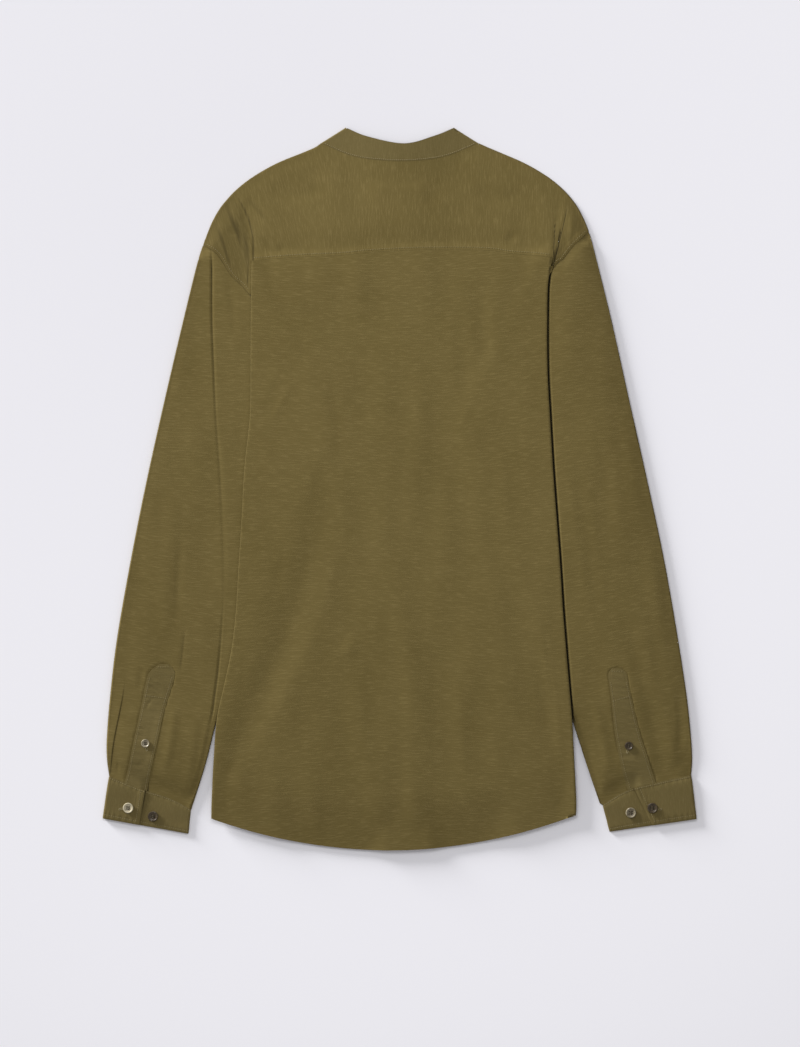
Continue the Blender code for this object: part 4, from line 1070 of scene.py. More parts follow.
def spanned(height, floor_height, bend):
    """The greater of two heights, with a soft bend where they meet."""
    gap = floor_height - height
    return height + 0.5 * (gap + np.sqrt(gap ** 2 + bend ** 2))


def neck_height(x, y):
    """Round the back of the neck the cloth springs up from the surface."""
    return PLY + NECK_SPRING * (1 - climb(np.abs(x), NECK_SPREAD)) * climb(y, NECK_RISES)


def shoulder_y(x):
    return np.where(x < 0, y_at(outline["left"], x), y_at(outline["right"], x))


def body_height(x, y):
    """Underside of the back and the yoke: the cloth spans the hollows between the layers below."""
    base = layers_below(x, y)
    from_top = np.where(np.abs(x) < NECK_X, y_at(collar_seam, x), shoulder_y(x)) - y
    edges = climb(from_top, TOP_RISES) * climb(y - hem_y(x), HEM_RISES)
    for side in SIDES:
        # above the seam the cloth runs on over the shoulder instead of turning under
        held = SHOULDER_HELD[side] * climb(y, HELD_FROM)
        edges = edges * (held + (1 - held) * climb(-past_fold(side, x, y), SIDE_RISES))
    dome = YOKE_DOME * (1 - ease(np.abs(x - DOME_X) / DOME_SPREAD))
    lift = BACK_LIFT + (YOKE_LIFT + dome - BACK_LIFT) * climb(y, LIFT_CHANGES)
    shape, inside = creased(BODY_CREASES, x, y) + undulating(x, y), ease(edges * SHAPE_GAIN)
    height = base + soft_floor((lift - base) * edges + shape * inside) \
        + np.clip(shape, 0, 2) * CREST_SHARE * inside
    over_closing = (BUTTON_ROOM + PLY + CLOSING_CLEARANCE) \
        * closing(x, y, CLOSING_MARGIN, CLOSING_SPREAD)
    height = spanned(height, base + over_closing, SPAN_BEND * ease(from_top / 20))
    return spanned(height, neck_height(x, y), NECK_BEND)


def back_flap_height(side):
    return lambda x, y: PLY * (2 + 2 * tuck(side, x, y, sleeve_inner[side]))


def knit_sway(plan):
    """Courses that rise and fall a little across a panel, as laid cloth has them."""
    x, y = plan[..., 0], plan[..., 1]
    rise_and_fall = COURSE_SWAY * np.sin(x / SWAY_ACROSS + y / SWAY_DOWN + SWAY_PHASE)
    return np.stack([x + WALE_SWAY * np.sin(y / WALE_BEAT), y + rise_and_fall], axis=-1)


rows, columns, flap_columns = 216, 186, 8
# the flap on the right starts a little below the yoke seam
first_flap_row = {"left": 0, "right": 2}
seam = yoke_seam - [0, SEAM_GAP]
heights = np.linspace(YOKE_SEAM[0].y, SIDE_HEM_Y, rows)
edges = {}
for side in SIDES:
    edge = np.array([point_at_height(body_edge[side], y) for y in heights])
    edge[0, 1] = y_at(seam, edge[0, 0])
    edge[-1, 1] = hem_y(edge[-1, 0])
    edge[:, 0] -= SIGN[side] * FOLD_REACH
    edges[side] = edge
top = line_across(edges["left"][0], edges["right"][0], columns, lambda x: y_at(seam, x))
hem = line_across(edges["left"][-1], edges["right"][-1], columns, hem_y)
plan = fill(top, hem, edges["left"], edges["right"])
panel = raised(plan, body_height)
cloth = Shell()
cloth.add(panel, knit_sway(plan), pinched(BODY_CREASES, plan[..., 0], plan[..., 1]))
for side, column in (("left", 0), ("right", -1)):
    upper = panel[first_flap_row[side]:, column]
    lower = upper - [0, 0, PLY]
    strip = folded(upper, lower, np.tile([SIGN[side], 0.0], (len(upper), 1)))
    cloth.add_fold(strip, knit_sway(strip))
    flap = tucked_flap(side, upper[:, :2], flap_columns, 0)
    grid = raised(flap, back_flap_height(side))
    grid[:, 0] = lower
    cloth.add(grid, knit_sway(flap))
back = cloth.build("back_panel", jersey)
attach(back, "root")
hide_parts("back")

# Yoke --------------------------------------------------------------------------------------------
# The yoke is jersey turned so that its slubs run up and down. It crosses the shoulders, wraps over
# them to the front, and drops down past the body's fold to the sleeve heads. Its seam to the back
# and its armhole seams are pressed upwards and topstitched.

ARMHOLE_COLUMNS, SHOULDER_COLUMNS, COLLAR_STATIONS = 40, 34, 73
ARMHOLE_CROWD, SHOULDER_CROWD, ROW_CROWD, SEAM_CROWD = 1.9, 1.7, 1.5, 0.72
SLUB_LEAN, LEAN_STARTS, LEAN_Y = 0.25, Slope(20, 120), 300
NECK_CLEARANCE = 0.1
Shoulder = namedtuple("Shoulder", "step puff shade")
SHOULDER = {"left": Shoulder(24.0, 2.0, 0.13), "right": Shoulder(20.0, 3.2, 0.04)}
YOKE_REST = 0.05
SEAM_DIP, SEAM_BULK, SEAM_ALLOWANCE, TOPSTITCH = 0.6, 0.2, 7.0, 3.0
# How the pressed seam allowance and the dip along the seam come and go, away from the seam
BULK_STARTS, BULK_ENDS, DIP_STARTS, DIP_ENDS = (Slope(-0.2, 1.4), Slope(SEAM_ALLOWANCE - 2, 3),
                                                Slope(0, 9), Slope(9, 22))
# Outside the body's fold: where the seam to the back ends and the one to the sleeve begins, where
# the cloth stands off the front, and where it lies in shade
SEAM_ENDS, RIM_STARTS = Slope(-1, 3), Slope(-2, 4)
PUFF_OPENS, SHADE_STARTS = Slope(-24, 16), Slope(-1, 5)
PUFF_REACH, CREASE_REACH, ARMHOLE_SHADE_WIDTH, SHOULDER_BEND, FAR = 34.0, 6.0, 1.2, 0.3, 99.0


def seam_bulk(distance):
    """The ridge of pressed seam allowance: it rolls up from the seam and dies away past its edge."""
    return SEAM_BULK * climb(distance, BULK_STARTS) * (1 - climb(distance, BULK_ENDS))


def seam_dip(distance):
    """The yoke sinks towards its seam and comes up again to meet the back."""
    return SEAM_DIP * climb(distance, DIP_STARTS) * (1 - climb(distance, DIP_ENDS))


def armhole_distance(side, x, y):
    """How far (x, y) lies from the armhole's seam, or FAR beyond the reach of all that it shapes."""
    line = even(armhole[side][armhole[side][:, 1] > ARMHOLE[side][3].y - 6], 60)
    near = (SIGN[side] * x > 150) & (y < 330)
    distance = np.full_like(x, FAR)
    squares = (x[near][:, None] - line[:, 0]) ** 2 + (y[near][:, None] - line[:, 1]) ** 2
    distance[near] = np.sqrt(squares.min(axis=-1))
    return distance


def shoulder_puff(side, x, y):
    """The yoke stands off the front where it drops past the body's fold to the sleeve head."""
    return SHOULDER[side].puff * ease((y_at(outline[side], x) - y) / PUFF_REACH) \
        * climb(past_fold(side, x, y), PUFF_OPENS) * armhole_sink(armhole_distance(side, x, y))


def yoke_height(x, y):
    """As the back within the folds, and stepping down to the sleeve's height outside them."""
    height, under = body_height(x, y), layers_below(x, y)
    for side in SIDES:
        over_fold = PLY * (1 + 2 * over_front_fold(side, x, y))
        past = past_fold(side, x, y)
        outside = spanned(PLY + shoulder_puff(side, x, y), over_fold, SHOULDER_BEND)
        height = height + ease(0.5 + past / SHOULDER[side].step) * (outside - height)
        under = np.where(past > -4, np.maximum(over_fold, under), under)
    shape = creased(YOKE_CREASES, x, y) * ease((shoulder_y(x) - y) / CREASE_REACH)
    return height + np.maximum(shape, np.minimum(under + YOKE_REST - height, 0))


def yoke_face(x, y):
    """The yoke's underside with its seam allowances."""
    bulk, inside = np.zeros_like(x), 1
    for side in SIDES:
        past = past_fold(side, x, y)
        inside = inside * climb(-past, SEAM_ENDS)
        bulk = bulk + seam_bulk(armhole_distance(side, x, y)) * climb(past, RIM_STARTS)
    return yoke_height(x, y) + bulk - seam_dip(y - y_at(yoke_seam, x)) * inside


def yoke_shade(x, y):
    shade = pinched(YOKE_CREASES, x, y)
    for side in SIDES:
        shade += SEAM_SHADE * (1 - ease(armhole_distance(side, x, y) / ARMHOLE_SHADE_WIDTH))
        shade += SHOULDER[side].shade * climb(past_fold(side, x, y), SHADE_STARTS)
    return shade


def outward_normals(line):
    """For a line that runs from left to right over the shirt, the directions away from it."""
    tangents = unit(np.gradient(line, axis=0))
    return np.column_stack([-tangents[:, 1], tangents[:, 0]])


def left_to_right(side, line):
    """A line that starts at the outside of its side, turned to run from left to right, or back."""
    return line if side == "left" else line[::-1]


rows, inset, wrap_rows, wrap_columns = 90, 0.5, 14, ARMHOLE_COLUMNS + SHOULDER_COLUMNS
# the columns crowd together towards the body's fold
to_fold = 1 - (1 - np.linspace(0, 1, ARMHOLE_COLUMNS)) ** ARMHOLE_CROWD
from_fold = np.linspace(0, 1, SHOULDER_COLUMNS) ** SHOULDER_CROWD
bottoms, tops = [], []
for side in SIDES:
    high, low = ARMHOLE[side][0].y, ARMHOLE[side][3].y
    bottoms.append(left_to_right(side, resample(part_of(armhole[side], high, low), to_fold)))
    rim = resample(part_of(outline[side], BODY_EDGE[0].y, high + SEAM_GAP)[::-1], to_fold)
    shoulder = resample(part_of(outline[side], NECK_Y - NECK_CLEARANCE, BODY_EDGE[0].y + inset)[::-1],
                        from_fold)
    tops.append(left_to_right(side, np.vstack([rim, shoulder])))
collar = even(collar_seam, COLLAR_STATIONS)[1:-1] - [0, SEAM_GAP]
inner_count = 2 * SHOULDER_COLUMNS + len(collar)
seam_start, seam_end = YOKE_SEAM[0].x + inset, YOKE_SEAM[-1].x - inset
seam_x = seam_start + crowded(inner_count, SEAM_CROWD) * (seam_end - seam_start)
bottom = np.vstack([bottoms[0], np.column_stack([seam_x, y_at(yoke_seam, seam_x)]), bottoms[1]])
top = np.vstack([tops[0], collar, tops[1]])
facing = outward_normals(top)
wrapped = np.zeros(len(top), bool)
wrapped[:wrap_columns] = wrapped[-wrap_columns:] = True
top = top - np.where(wrapped[:, None], facing * FOLD_REACH, 0)
bottom[0], bottom[-1] = top[0], top[-1]
plan = between(top, bottom, 1 - (1 - np.linspace(0, 1, rows)) ** ROW_CROWD)
panel = raised(plan, yoke_face)
x, y = plan[..., 0], plan[..., 1]
cloth = Shell()
cloth.add(panel, np.stack([y, x + SLUB_LEAN * climb(-x, LEAN_STARTS) * (y - LEAN_Y)], axis=-1),
          yoke_shade(x, y))
for side, chosen in (("left", slice(0, wrap_columns)),
                     ("right", slice(len(top) - wrap_columns, None))):
    upper = panel[0, chosen]
    lower = upper.copy()
    lower[:, 2] = WALL / 2
    strip = folded(upper, lower, facing[chosen])
    cloth.add_fold(strip, strip[..., 1::-1])
    seam = left_to_right(side, front_yoke_seam(side, len(upper))[::-1])
    plan = between(seam, lower[:, :2], np.linspace(0, 1, wrap_rows))
    cloth.add(raised(plan, level(0)), plan[..., ::-1])
yoke = cloth.build("yoke_panel", jersey)
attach(yoke, "root")
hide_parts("yoke")


def yoke_top(x, y):
    return yoke_face(x, y) + WALL


seam_x = np.linspace(YOKE_SEAM[0].x + 4, YOKE_SEAM[-1].x - 5, 300)
lines = [on_cloth(np.column_stack([seam_x, y_at(yoke_seam, seam_x) + TOPSTITCH]), yoke_top)]
for side in SIDES:
    upper_part = part_of(armhole[side], ARMHOLE[side][0].y, ARMHOLE[side][3].y)
    line = left_to_right(side, even(upper_part, 80))
    line = left_to_right(side, line + outward_normals(line) * TOPSTITCH)[4:-7]
    lines.append(on_cloth(left_to_right(side, line), yoke_top))
yoke_stitches = stitched("yoke_topstitching", lines, olive_thread, 21)
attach(yoke_stitches, "root")

# Collar band -------------------------------------------------------------------------------------
# The mandarin collar is a band of double jersey with no leaf, and about 19 mm of it shows at the
# back. Its seam to the yoke is topstitched along the band. Round the front it lies against the
# surface, and its ends meet at one button.

PEAK_X, PEAK_Y = 59.0, 397.0
BACK_COLLAR_TOP = [Point(-59, 397), Point(-35, 387.2), Point(5, 379.5), Point(38, 388), Point(60, 397)]
COLLAR_STITCH, COLLAR_STAND = 1.5, 0.04
# Up from the seam the band stands proud and comes down again, and not at its ends
STAND_STARTS, STAND_ENDS, STAND_ASIDE = Slope(0.5, 3), Slope(8, 9), Slope(4 - NECK_X, 14)
front_stations, rows = 60, 16
centre_x = x_at(centre_front, 330)
seam_half, top_half = NECK_X - NECK_CLEARANCE / 2, PEAK_X - FOLD_REACH / 2


def half_front(sign, end_x):
    """The band's seam and its free edge on one side of the front, from its end to the back."""
    lines = []
    for low, half_width, high in ((FRONT_NECK_LOW + GAP, seam_half, NECK_Y - FOLD_REACH),
                                  (FRONT_NECK_LOW + FRONT_BAND_HEIGHT, top_half, PEAK_Y - FOLD_REACH)):
        x = np.linspace(end_x, sign * half_width, front_stations)
        lines.append(np.column_stack([x, neck_curve(x, low, half_width, high)]))
    return lines


def collar_back_height(x, y):
    """The back of the band stands a little proud of the yoke along its seam."""
    above_seam = y - y_at(collar_seam, x)
    return neck_height(x, y) + climb(-np.abs(x), STAND_ASIDE) * COLLAR_STAND \
        * (1 - climb(above_seam, STAND_ENDS)) * climb(above_seam, STAND_STARTS)


left_seam, left_top = half_front(-1, centre_x + PLACKET_WIDTH / 2)
right_seam, right_top = half_front(1, centre_x + PLACKET_WIDTH / 2 - PLACKET_LAP)
back_seam = even(collar_seam, COLLAR_STATIONS)
back_top = even(smooth_line(BACK_COLLAR_TOP), COLLAR_STATIONS)
back_seam[[0, -1]] = left_seam[-1], right_seam[-1]
back_top[[0, -1]] = left_top[-1], right_top[-1]
grids = []
cloth = Shell()
for seam, top, height in ((back_seam, back_top, collar_back_height),
                          (left_seam, left_top, front_height),
                          (right_seam, right_top, front_right_height)):
    plan = between(seam, top, np.linspace(0, 1, rows))
    grids.append(raised(plan, height))
    cloth.add(grids[-1], plan[..., ::-1])
back_grid, front_left, front_right = grids
for sign, column, front in ((-1.0, 0, front_left), (1.0, -1, front_right)):
    direction = unit(np.array([sign * (PEAK_Y - NECK_Y), NECK_X - PEAK_X]))
    strip = folded(back_grid[:, column], front[:, -1], np.tile(direction, (rows, 1)))
    cloth.add(strip, strip[..., 1::-1])
collar = cloth.build("collar", double_jersey)
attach(collar, "root")
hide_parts("collar_band")

line = even(collar_seam, 200)[6:-6] + [0, COLLAR_STITCH]
line = on_cloth(line, lambda x, y: collar_back_height(x, y) + WALL)
collar_stitches = stitched("collar_topstitching", [line], olive_thread, 31, pitch=2.3, length=1.6,
                           radius=0.3)
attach(collar_stitches, "root")

# Cuffs -------------------------------------------------------------------------------------------
# Each cuff is a barrel of double jersey, 46 mm deep, with its slubs along the arm. Laid flat, its
# outer half laps over the inner one. Its edges are topstitched, and the stitching draws small
# puckers into the cloth.

CUFF_WIDTH, CUFF_DEPTH, CUFF_UNDERLAP_END = 97.0, 46.0, 0.14
CUFF_EDGE = {
    "left": [Point(-326.4, -362), Point(-231.8, -379)],
    "right": [Point(326.4, -362.7), Point(230.3, -376.8)],
}
Lap = namedtuple("Lap", "seam edge lift")
CUFF_LAP = {"left": Lap(0.435, 0.425, 0.6), "right": Lap(0.62, 0.508, 0.2)}
LAP_SHADE = {"left": 0.9, "right": 0.35}
CUFF_STITCH_INSET, CUFF_SEAM_INSET = 4.5, 1.8
# Height and reach of each part of a cuff's relief, and how much of the lap's lift is lost at its edge
CUFF_PILLOW, CUFF_SEAM_PILLOW, FURROW, PUCKER, BROAD_WAVE = 0.45, 0.15, 0.22, 0.13, 0.3
PILLOW_REACH, RIM_REACH, FURROW_WIDTH, WAVE_REACH = 9.0, 2.6, 1.3, 9.0
PUCKER_INSET, PUCKER_REACH, SEAM_STEEPER = 5, 4.0, 1.6
LAP_REACH, LAP_SHADE_WIDTH, LAP_LOSS, LAP_SHADE_ENDS = 12.0, 1.6, 0.7, Slope(12, 24)


def on_face(grid, down, across):
    """Places for thread on the upper face of a grid, at these shares down and across it."""
    places = [np.array(share) * (count - 1) for share, count in zip((down, across), grid.shape)]
    row, column = (np.minimum(place.astype(int), count - 2)
                   for place, count in zip(places, grid.shape))
    r, c = (places[0] - row)[:, None], (places[1] - column)[:, None]
    point = ((1 - r) * ((1 - c) * grid[row, column] + c * grid[row, column + 1])
             + r * ((1 - c) * grid[row + 1, column] + c * grid[row + 1, column + 1]))
    return point + [0, 0, WALL / 2 + THREAD_RADIUS - THREAD_SINK]


def cuff_relief(wrist, depth, from_free):
    """The cuff thins to its edges and dips along its stitching; wrist and depth are places on it."""
    from_rim = np.minimum(np.minimum(CUFF_DEPTH - depth, depth * SEAM_STEEPER), from_free)
    pillow = CUFF_SEAM_PILLOW + (CUFF_PILLOW - CUFF_SEAM_PILLOW) * ease(depth / PILLOW_REACH)
    furrow = FURROW * np.exp(-((from_rim - CUFF_STITCH_INSET) / FURROW_WIDTH) ** 2)
    # the lengths of puckers and waves have no common measure, so that none repeats along the cuff
    puckers = PUCKER * np.sin(wrist / 0.9 + 2.2 * np.sin(wrist / 7)) \
        * np.exp(-((from_rim - PUCKER_INSET) / PUCKER_REACH) ** 2)
    waves = BROAD_WAVE * np.sin(wrist / 11 + depth / 17) * np.sin(depth / 13 + 0.8)
    return pillow * ease(from_rim / RIM_REACH) - furrow + puckers + waves * ease(from_rim / WAVE_REACH)


def build_cuff(side):
    rows, fine, coarse = 40, 60, 50
    seam_line = cuff_seam[side] + [0, 2 * GAP - SEAM_GAP]
    edge_line, lap = smooth_line(CUFF_EDGE[side]), CUFF_LAP[side]
    margin = (FOLD_REACH + PLY / 2) / CUFF_WIDTH
    whole = np.linspace(margin, 1 - margin, coarse)
    underlap = np.linspace(1 - margin, CUFF_UNDERLAP_END, fine)
    # shares of the wrist at the seam and at the edge for the outer half, the lowest layer and the
    # underlap, and how many plies lie under each
    layers = [(np.linspace(lap.seam, margin, fine), np.linspace(lap.edge, margin, fine), 2),
              (whole, whole, 0), (underlap, underlap, 1)]
    share = np.linspace(0, 1, rows)
    down = share[:, None]
    grids, grains, shades = [], [], []
    for seam_shares, edge_shares, plies in layers:
        plan = between(resample(seam_line, seam_shares), resample(edge_line, edge_shares), share)
        wrist = ((1 - down) * seam_shares + down * edge_shares) * CUFF_WIDTH
        depth = np.repeat(down * CUFF_DEPTH, len(seam_shares), axis=1)
        from_free = np.abs(wrist - wrist[:, :1]) if plies == 2 else np.full_like(wrist, FAR)
        z = plies * PLY + WALL / 2 + (cuff_relief(wrist, depth, from_free) if plies else 0)
        if plies == 2:
            lost = LAP_LOSS * ease(depth / CUFF_DEPTH)
            z = z + lap.lift * (1 - ease(from_free / LAP_REACH)) * (1 - lost)
        beyond_lap = wrist - (lap.seam + (lap.edge - lap.seam) * down) * CUFF_WIDTH
        shade = LAP_SHADE[side] * (1 - ease(np.abs(beyond_lap) / LAP_SHADE_WIDTH))
        shades.append(shade * (1 - LAP_LOSS * climb(depth, LAP_SHADE_ENDS)) * (plies == 1))
        grids.append(np.concatenate([plan, (z + 0 * wrist)[..., None]], axis=-1))
        grains.append(np.stack([depth, wrist], axis=-1))
    top, floor_layer, middle = grids
    outwards = unit(floor_layer[:, 0, :2] - floor_layer[:, 1, :2])
    cloth = Shell()
    for grid, grain, shade in zip(grids, grains, shades):
        cloth.add(grid, grain, shade)
    for upper, lower, direction, grain in (
            (top[:, -1], floor_layer[:, 0], outwards, grains[0][:, -1]),
            (middle[:, 0], floor_layer[:, -1], -outwards, grains[2][:, 0])):
        strip = folded(upper, lower, direction)
        cloth.add(strip, np.repeat(grain[:, None], strip.shape[1], axis=1))
    return cloth.build("cuff_shell_" + side, double_jersey), top, middle


def cuff_stitch_lines(side, top, middle):
    """Along the seam, the edge and the free end of the outer half, and on the underlap that shows."""
    lap, run = CUFF_LAP[side], np.linspace(0, 1, 80)
    shown = (1 - lap.edge) / (1 - CUFF_UNDERLAP_END)
    near_seam, near_edge = CUFF_SEAM_INSET / CUFF_DEPTH, 1 - CUFF_STITCH_INSET / CUFF_DEPTH
    near_free = CUFF_STITCH_INSET / (lap.edge * CUFF_WIDTH)
    rows = [(top, near_seam, 0.02, 0.99), (top, near_edge, near_free, 0.99),
            (middle, near_seam, 0.01, shown - 0.05), (middle, near_edge, 0.01, shown - 0.03)]
    lines = [on_face(grid, np.full(80, down), start + (end - start) * run)
             for grid, down, start, end in rows]
    lines.insert(2, on_face(top, near_seam + (near_edge - near_seam) * run, np.full(80, near_free)))
    return lines


cuff_grids, lines = {}, []
for side, width in (("left", 0.165), ("right", 0.21)):
    cuff, top, middle = build_cuff(side)
    cuff_grids[side] = (top, middle)
    lines += cuff_stitch_lines(side, top, middle)
    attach(cuff, "root")
    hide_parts("cuff_" + side)
cuff_stitches = stitched("cuff_topstitching", lines, olive_thread, 41, pitch=2.4, length=1.7)
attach(cuff_stitches, "root")

# Sleeve plackets ---------------------------------------------------------------------------------
# A strip of double jersey finishes the slit of each sleeve. It lies on the sleeve from a rounded
# tip down to the cuff, edge-stitched all round and closed by a line of stitches across its top. Its
# edge over the slit is free lower down, and one button holds it.

BOX_LINE = {"left": (-227.0, -229.9), "right": (-232.6, -227.7)}
Free = namedtuple("Free", "lift top")
PLACKET_FREE = {"left": Free(0.4, -236.0), "right": Free(0.3, -252.0)}
PLACKET_REST, PLACKET_PILLOW, PLACKET_EDGE_STITCH, ROWS_CROWD = 0.05, 0.15, 2.4, 1.25
EDGE_FURROW, EDGE_FURROW_WIDTH, RIPPLE, RIPPLE_REACH, PLACKET_RIM_REACH = 0.12, 0.9, 0.07, 5.0, 2.2
FREE_REACH, FREE_SIDE, CUFF_MEETS, CUFF_CLEARANCE = 22.0, Slope(0.6, 0.4), Slope(0.5, 14), 0.1
PLACKET_CREASES = {
    "left": [
        Crease([(-277, -214), (-268, -221), (-260, -228)], -0.45, 2.5, 3.5),
        Crease([(-272, -209), (-262, -214), (-255, -221)], 0.3, 3, 3),
        Crease([(-270, -229), (-276, -236), (-279, -244)], -0.3, 3, 3),
        Crease([(-294, -268), (-286, -270), (-278, -273)], -0.4, 2, 3),
        Crease([(-292, -262), (-284, -263), (-277, -267)], -0.3, 2, 3),
        Crease([(-299, -300), (-288, -303), (-279, -301)], -0.3, 3, 4),
    ],
    "right": [
        Crease([(240, -290), (250, -293), (264, -289)], -0.3, 3, 4),
    ],
}


def build_sleeve_placket(side):
    rows, columns = 130, 30
    lines, free = placket_edges[side], PLACKET_FREE[side]
    tip = PLACKET[side][0].y
    down = np.linspace(0, 1, rows) ** ROWS_CROWD
    ys = tip + down * (PLACKET[side][-1].y - tip)
    share = np.linspace(0, 1, columns)[None]
    x = (1 - share) * x_at(lines[0], ys)[:, None] + share * x_at(lines[1], ys)[:, None]
    bottom = y_at(cuff_seam[side], x[-1]) + 2 * GAP
    y = ys[:, None] + (down ** 4)[:, None] * (bottom - ys[-1])[None]
    width = np.abs(x[:, -1:] - x[:, :1])
    from_rim = np.minimum(np.minimum(share, 1 - share) * width, (tip - y) * 0.9 + 0.4)
    pillow = PLACKET_PILLOW * ease(from_rim / PLACKET_RIM_REACH)
    furrow = EDGE_FURROW * np.exp(-((from_rim - PLACKET_EDGE_STITCH) / EDGE_FURROW_WIDTH) ** 2)
    # like a cuff's puckers, the ripples along the strip have lengths with no common measure
    ripple = RIPPLE * np.sin(y / 1.15 + x / 9 + 1.5 * np.sin(y / 6)) * np.sin(y / 23 + x / 12)
    relief = (ripple + creased(PLACKET_CREASES[side], x, y)) * ease(from_rim / RIPPLE_REACH)
    lifted = free.lift * ease((free.top - y) / FREE_REACH) * climb(share, FREE_SIDE)
    z = sleeve_upper(side)(x, y) + WALL * 1.5 + PLACKET_REST + pillow - furrow + relief + lifted \
        - PLACKET_RECESS * (1 - under_placket(side, x, y))
    # it sinks to the cuff's height where the cuff is sewn over it
    at_cuff = PLY * (1 + over_lap(side, x)) + WALL / 2 + CUFF_CLEARANCE
    z = z + (1 - climb(y - bottom, CUFF_MEETS)) * (at_cuff - z)
    grid = np.stack([x, y, z], axis=-1)
    cloth = Shell()
    cloth.add(grid)
    return cloth.build("sleeve_placket_strip_" + side, double_jersey), grid


def placket_stitch_lines(side, grid):
    """Down both edges, across the tip, and the line that closes the strip lower down."""
    ys = grid[:, 0, 1]
    length, inset, run = ys[0] - ys[-1], PLACKET_EDGE_STITCH / 25, np.linspace(0, 1, 90)
    shares = np.linspace(0, 1, len(ys))
    rows = np.interp(run, (ys[0] - ys) / length, shares)
    top_row = np.interp(PLACKET_EDGE_STITCH / length, run, rows)
    lines = [on_face(grid, top_row + (1 - top_row) * rows[8:] / rows[-1], np.full(82, at))
             for at in (inset, 1 - inset)]
    lines.append(on_face(grid, np.full(40, top_row * 1.2), np.linspace(inset * 2, 1 - inset * 2, 40)))
    box_rows = np.interp(ys[0] - np.linspace(*BOX_LINE[side], 60), ys[0] - ys, shares)
    lines.append(on_face(grid, box_rows, np.linspace(inset, 1 - inset, 60)))
    return lines


placket_grids, lines = {}, []
for side in SIDES:
    strip, placket_grids[side] = build_sleeve_placket(side)
    lines += placket_stitch_lines(side, placket_grids[side])
    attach(strip, "root")
    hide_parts("sleeve_placket_" + side)
placket_seams = stitched("sleeve_placket_stitches", lines, olive_thread, 51, pitch=2.3, length=1.6,
                         radius=0.19)
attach(placket_seams, "root")

# Buttons -----------------------------------------------------------------------------------------
# Thirteen four-hole buttons of smoky shell, with a raised rim and a dished face: 11.4 mm across,
# 9.2 mm on the sleeve plackets. Each is sewn on with two bars of thread, and each fastened one sits
# over the end of its corded buttonhole.

Ring = namedtuple("Ring", "out up")
BUTTON_PROFILE = [Ring(0.80, 0.0), Ring(0.94, 0.08), Ring(1.0, 0.34), Ring(0.995, 0.66),
                  Ring(0.95, 0.9), Ring(0.87, 1.0), Ring(0.79, 0.94), Ring(0.72, 0.74),
                  Ring(0.64, 0.62), Ring(0.40, 0.57)]
BUTTON_RADIUS, SMALL_RADIUS, BUTTON_SIDES, SHARP_ANGLE = 5.7, 4.6, 48, 38
HOLE_RADIUS, HOLE_OUT, HOLE_SIDES = 0.16, 0.27, 14
# tone runs from the brown smoke of the shell at 0 to its pale pearl at 1
Button = namedtuple("Button", "name x y radius tone")
SLEEVE_BUTTONS = [
    Button("cuff_button_left_fastened", -298.2, -350.4, BUTTON_RADIUS, 0.95),
    Button("cuff_button_left_spare", -271.1, -359.7, BUTTON_RADIUS, 0.0),
    Button("placket_button_left", -279.1, -279.2, SMALL_RADIUS, 0.55),
    Button("cuff_button_right_fastened", 277.5, -350.4, BUTTON_RADIUS, 0.0),
    Button("cuff_button_right_spare", 254.0, -355.7, BUTTON_RADIUS, 0.42),
    Button("placket_button_right", 251.5, -282.0, SMALL_RADIUS, -0.1),
]
BUTTON_PITCH, BUTTON_TOP = 95.0, 268.0
FRONT_TONES = [0.3, 0.6, 0.2, 0.45, 0.8, 0.35]
COLLAR_BUTTON_TONE = 0.5
# Where on the rim the painted highlight is strongest, where it starts and how faint it gets between,
# then the face's share of each button's tone and how much the rim's painted highlight adds
BUTTON_REST, HIGHLIGHT_BEARING, HIGHLIGHT_STARTS, HIGHLIGHT_LEAST = 0.3, -0.5, Slope(0.55, 0.3), 0.25
FACE_TONE, RIM_HIGHLIGHT = 0.75, 0.45
SHELL_BANDS, BAND_WEIGHT, SMOKE_UNTIL, PEARL_FROM = 330.0, 0.9, 0.40, 1.55
SMOKE, PEARL = (0.044, 0.029, 0.013, 1), (0.50, 0.44, 0.30, 1)
STRANDS, BAR_PLACES, BAR_RISE, BAR_DIVE, BAR_OVERRUN = (-0.32, 0.0, 0.32), 9, 0.42, 0.55, 0.2
# How far the cord of a buttonhole reaches beyond the button, and how far off its middle the button
# sits
SLEEVE_CORD, FRONT_CORD, CORD_RISE, SLIT_HALF = 1.1, 1.3, 0.05, 0.8
CUFF_SLIP, PLACKET_SLIP, CUFF_HOLE_LEAN, PLACKET_HOLE_LEAN = 3.4, 2.6, -0.17, 0.22


def smoky_shell():
    """Polished shell: bands from brown smoke to pale pearl; each button's own tone shifts the mix."""
    material, tree, shader = new_material("smoky_shell")
    place = node(tree, "ShaderNodeTexCoord", (-1100, 0))
    bands = node(tree, "ShaderNodeTexNoise", (-900, 0),
                 {"Scale": SHELL_BANDS, "Detail": 3.0, "Distortion": 1.4,
                  "Vector": place.outputs["Object"]}).outputs["Fac"]
    # the tone holds each button's own shade of shell together with the highlight painted on its rim
    own = node(tree, "ShaderNodeAttribute", (-900, -260), attribute_name="tone")
    shifted = maths(tree, "MULTIPLY_ADD", (-680, 0), bands, BAND_WEIGHT, own.outputs["Fac"])
    pearly = rise(tree, (-480, 0), shifted, SMOKE_UNTIL, PEARL_FROM)
    feed(shader, {"Base Color": blend(tree, (-250, 0), pearly, SMOKE, PEARL),
                  "Normal": bumped(tree, (-250, -300), bands, 0.15, 0.0001), "Roughness": 0.3,
                  "Specular IOR Level": 0.4, "Coat Weight": 0.12, "Coat Roughness": 0.15})
    return material


shell_finish = smoky_shell()
button_thread = thread_finish("button_thread", (0.085, 0.066, 0.035))


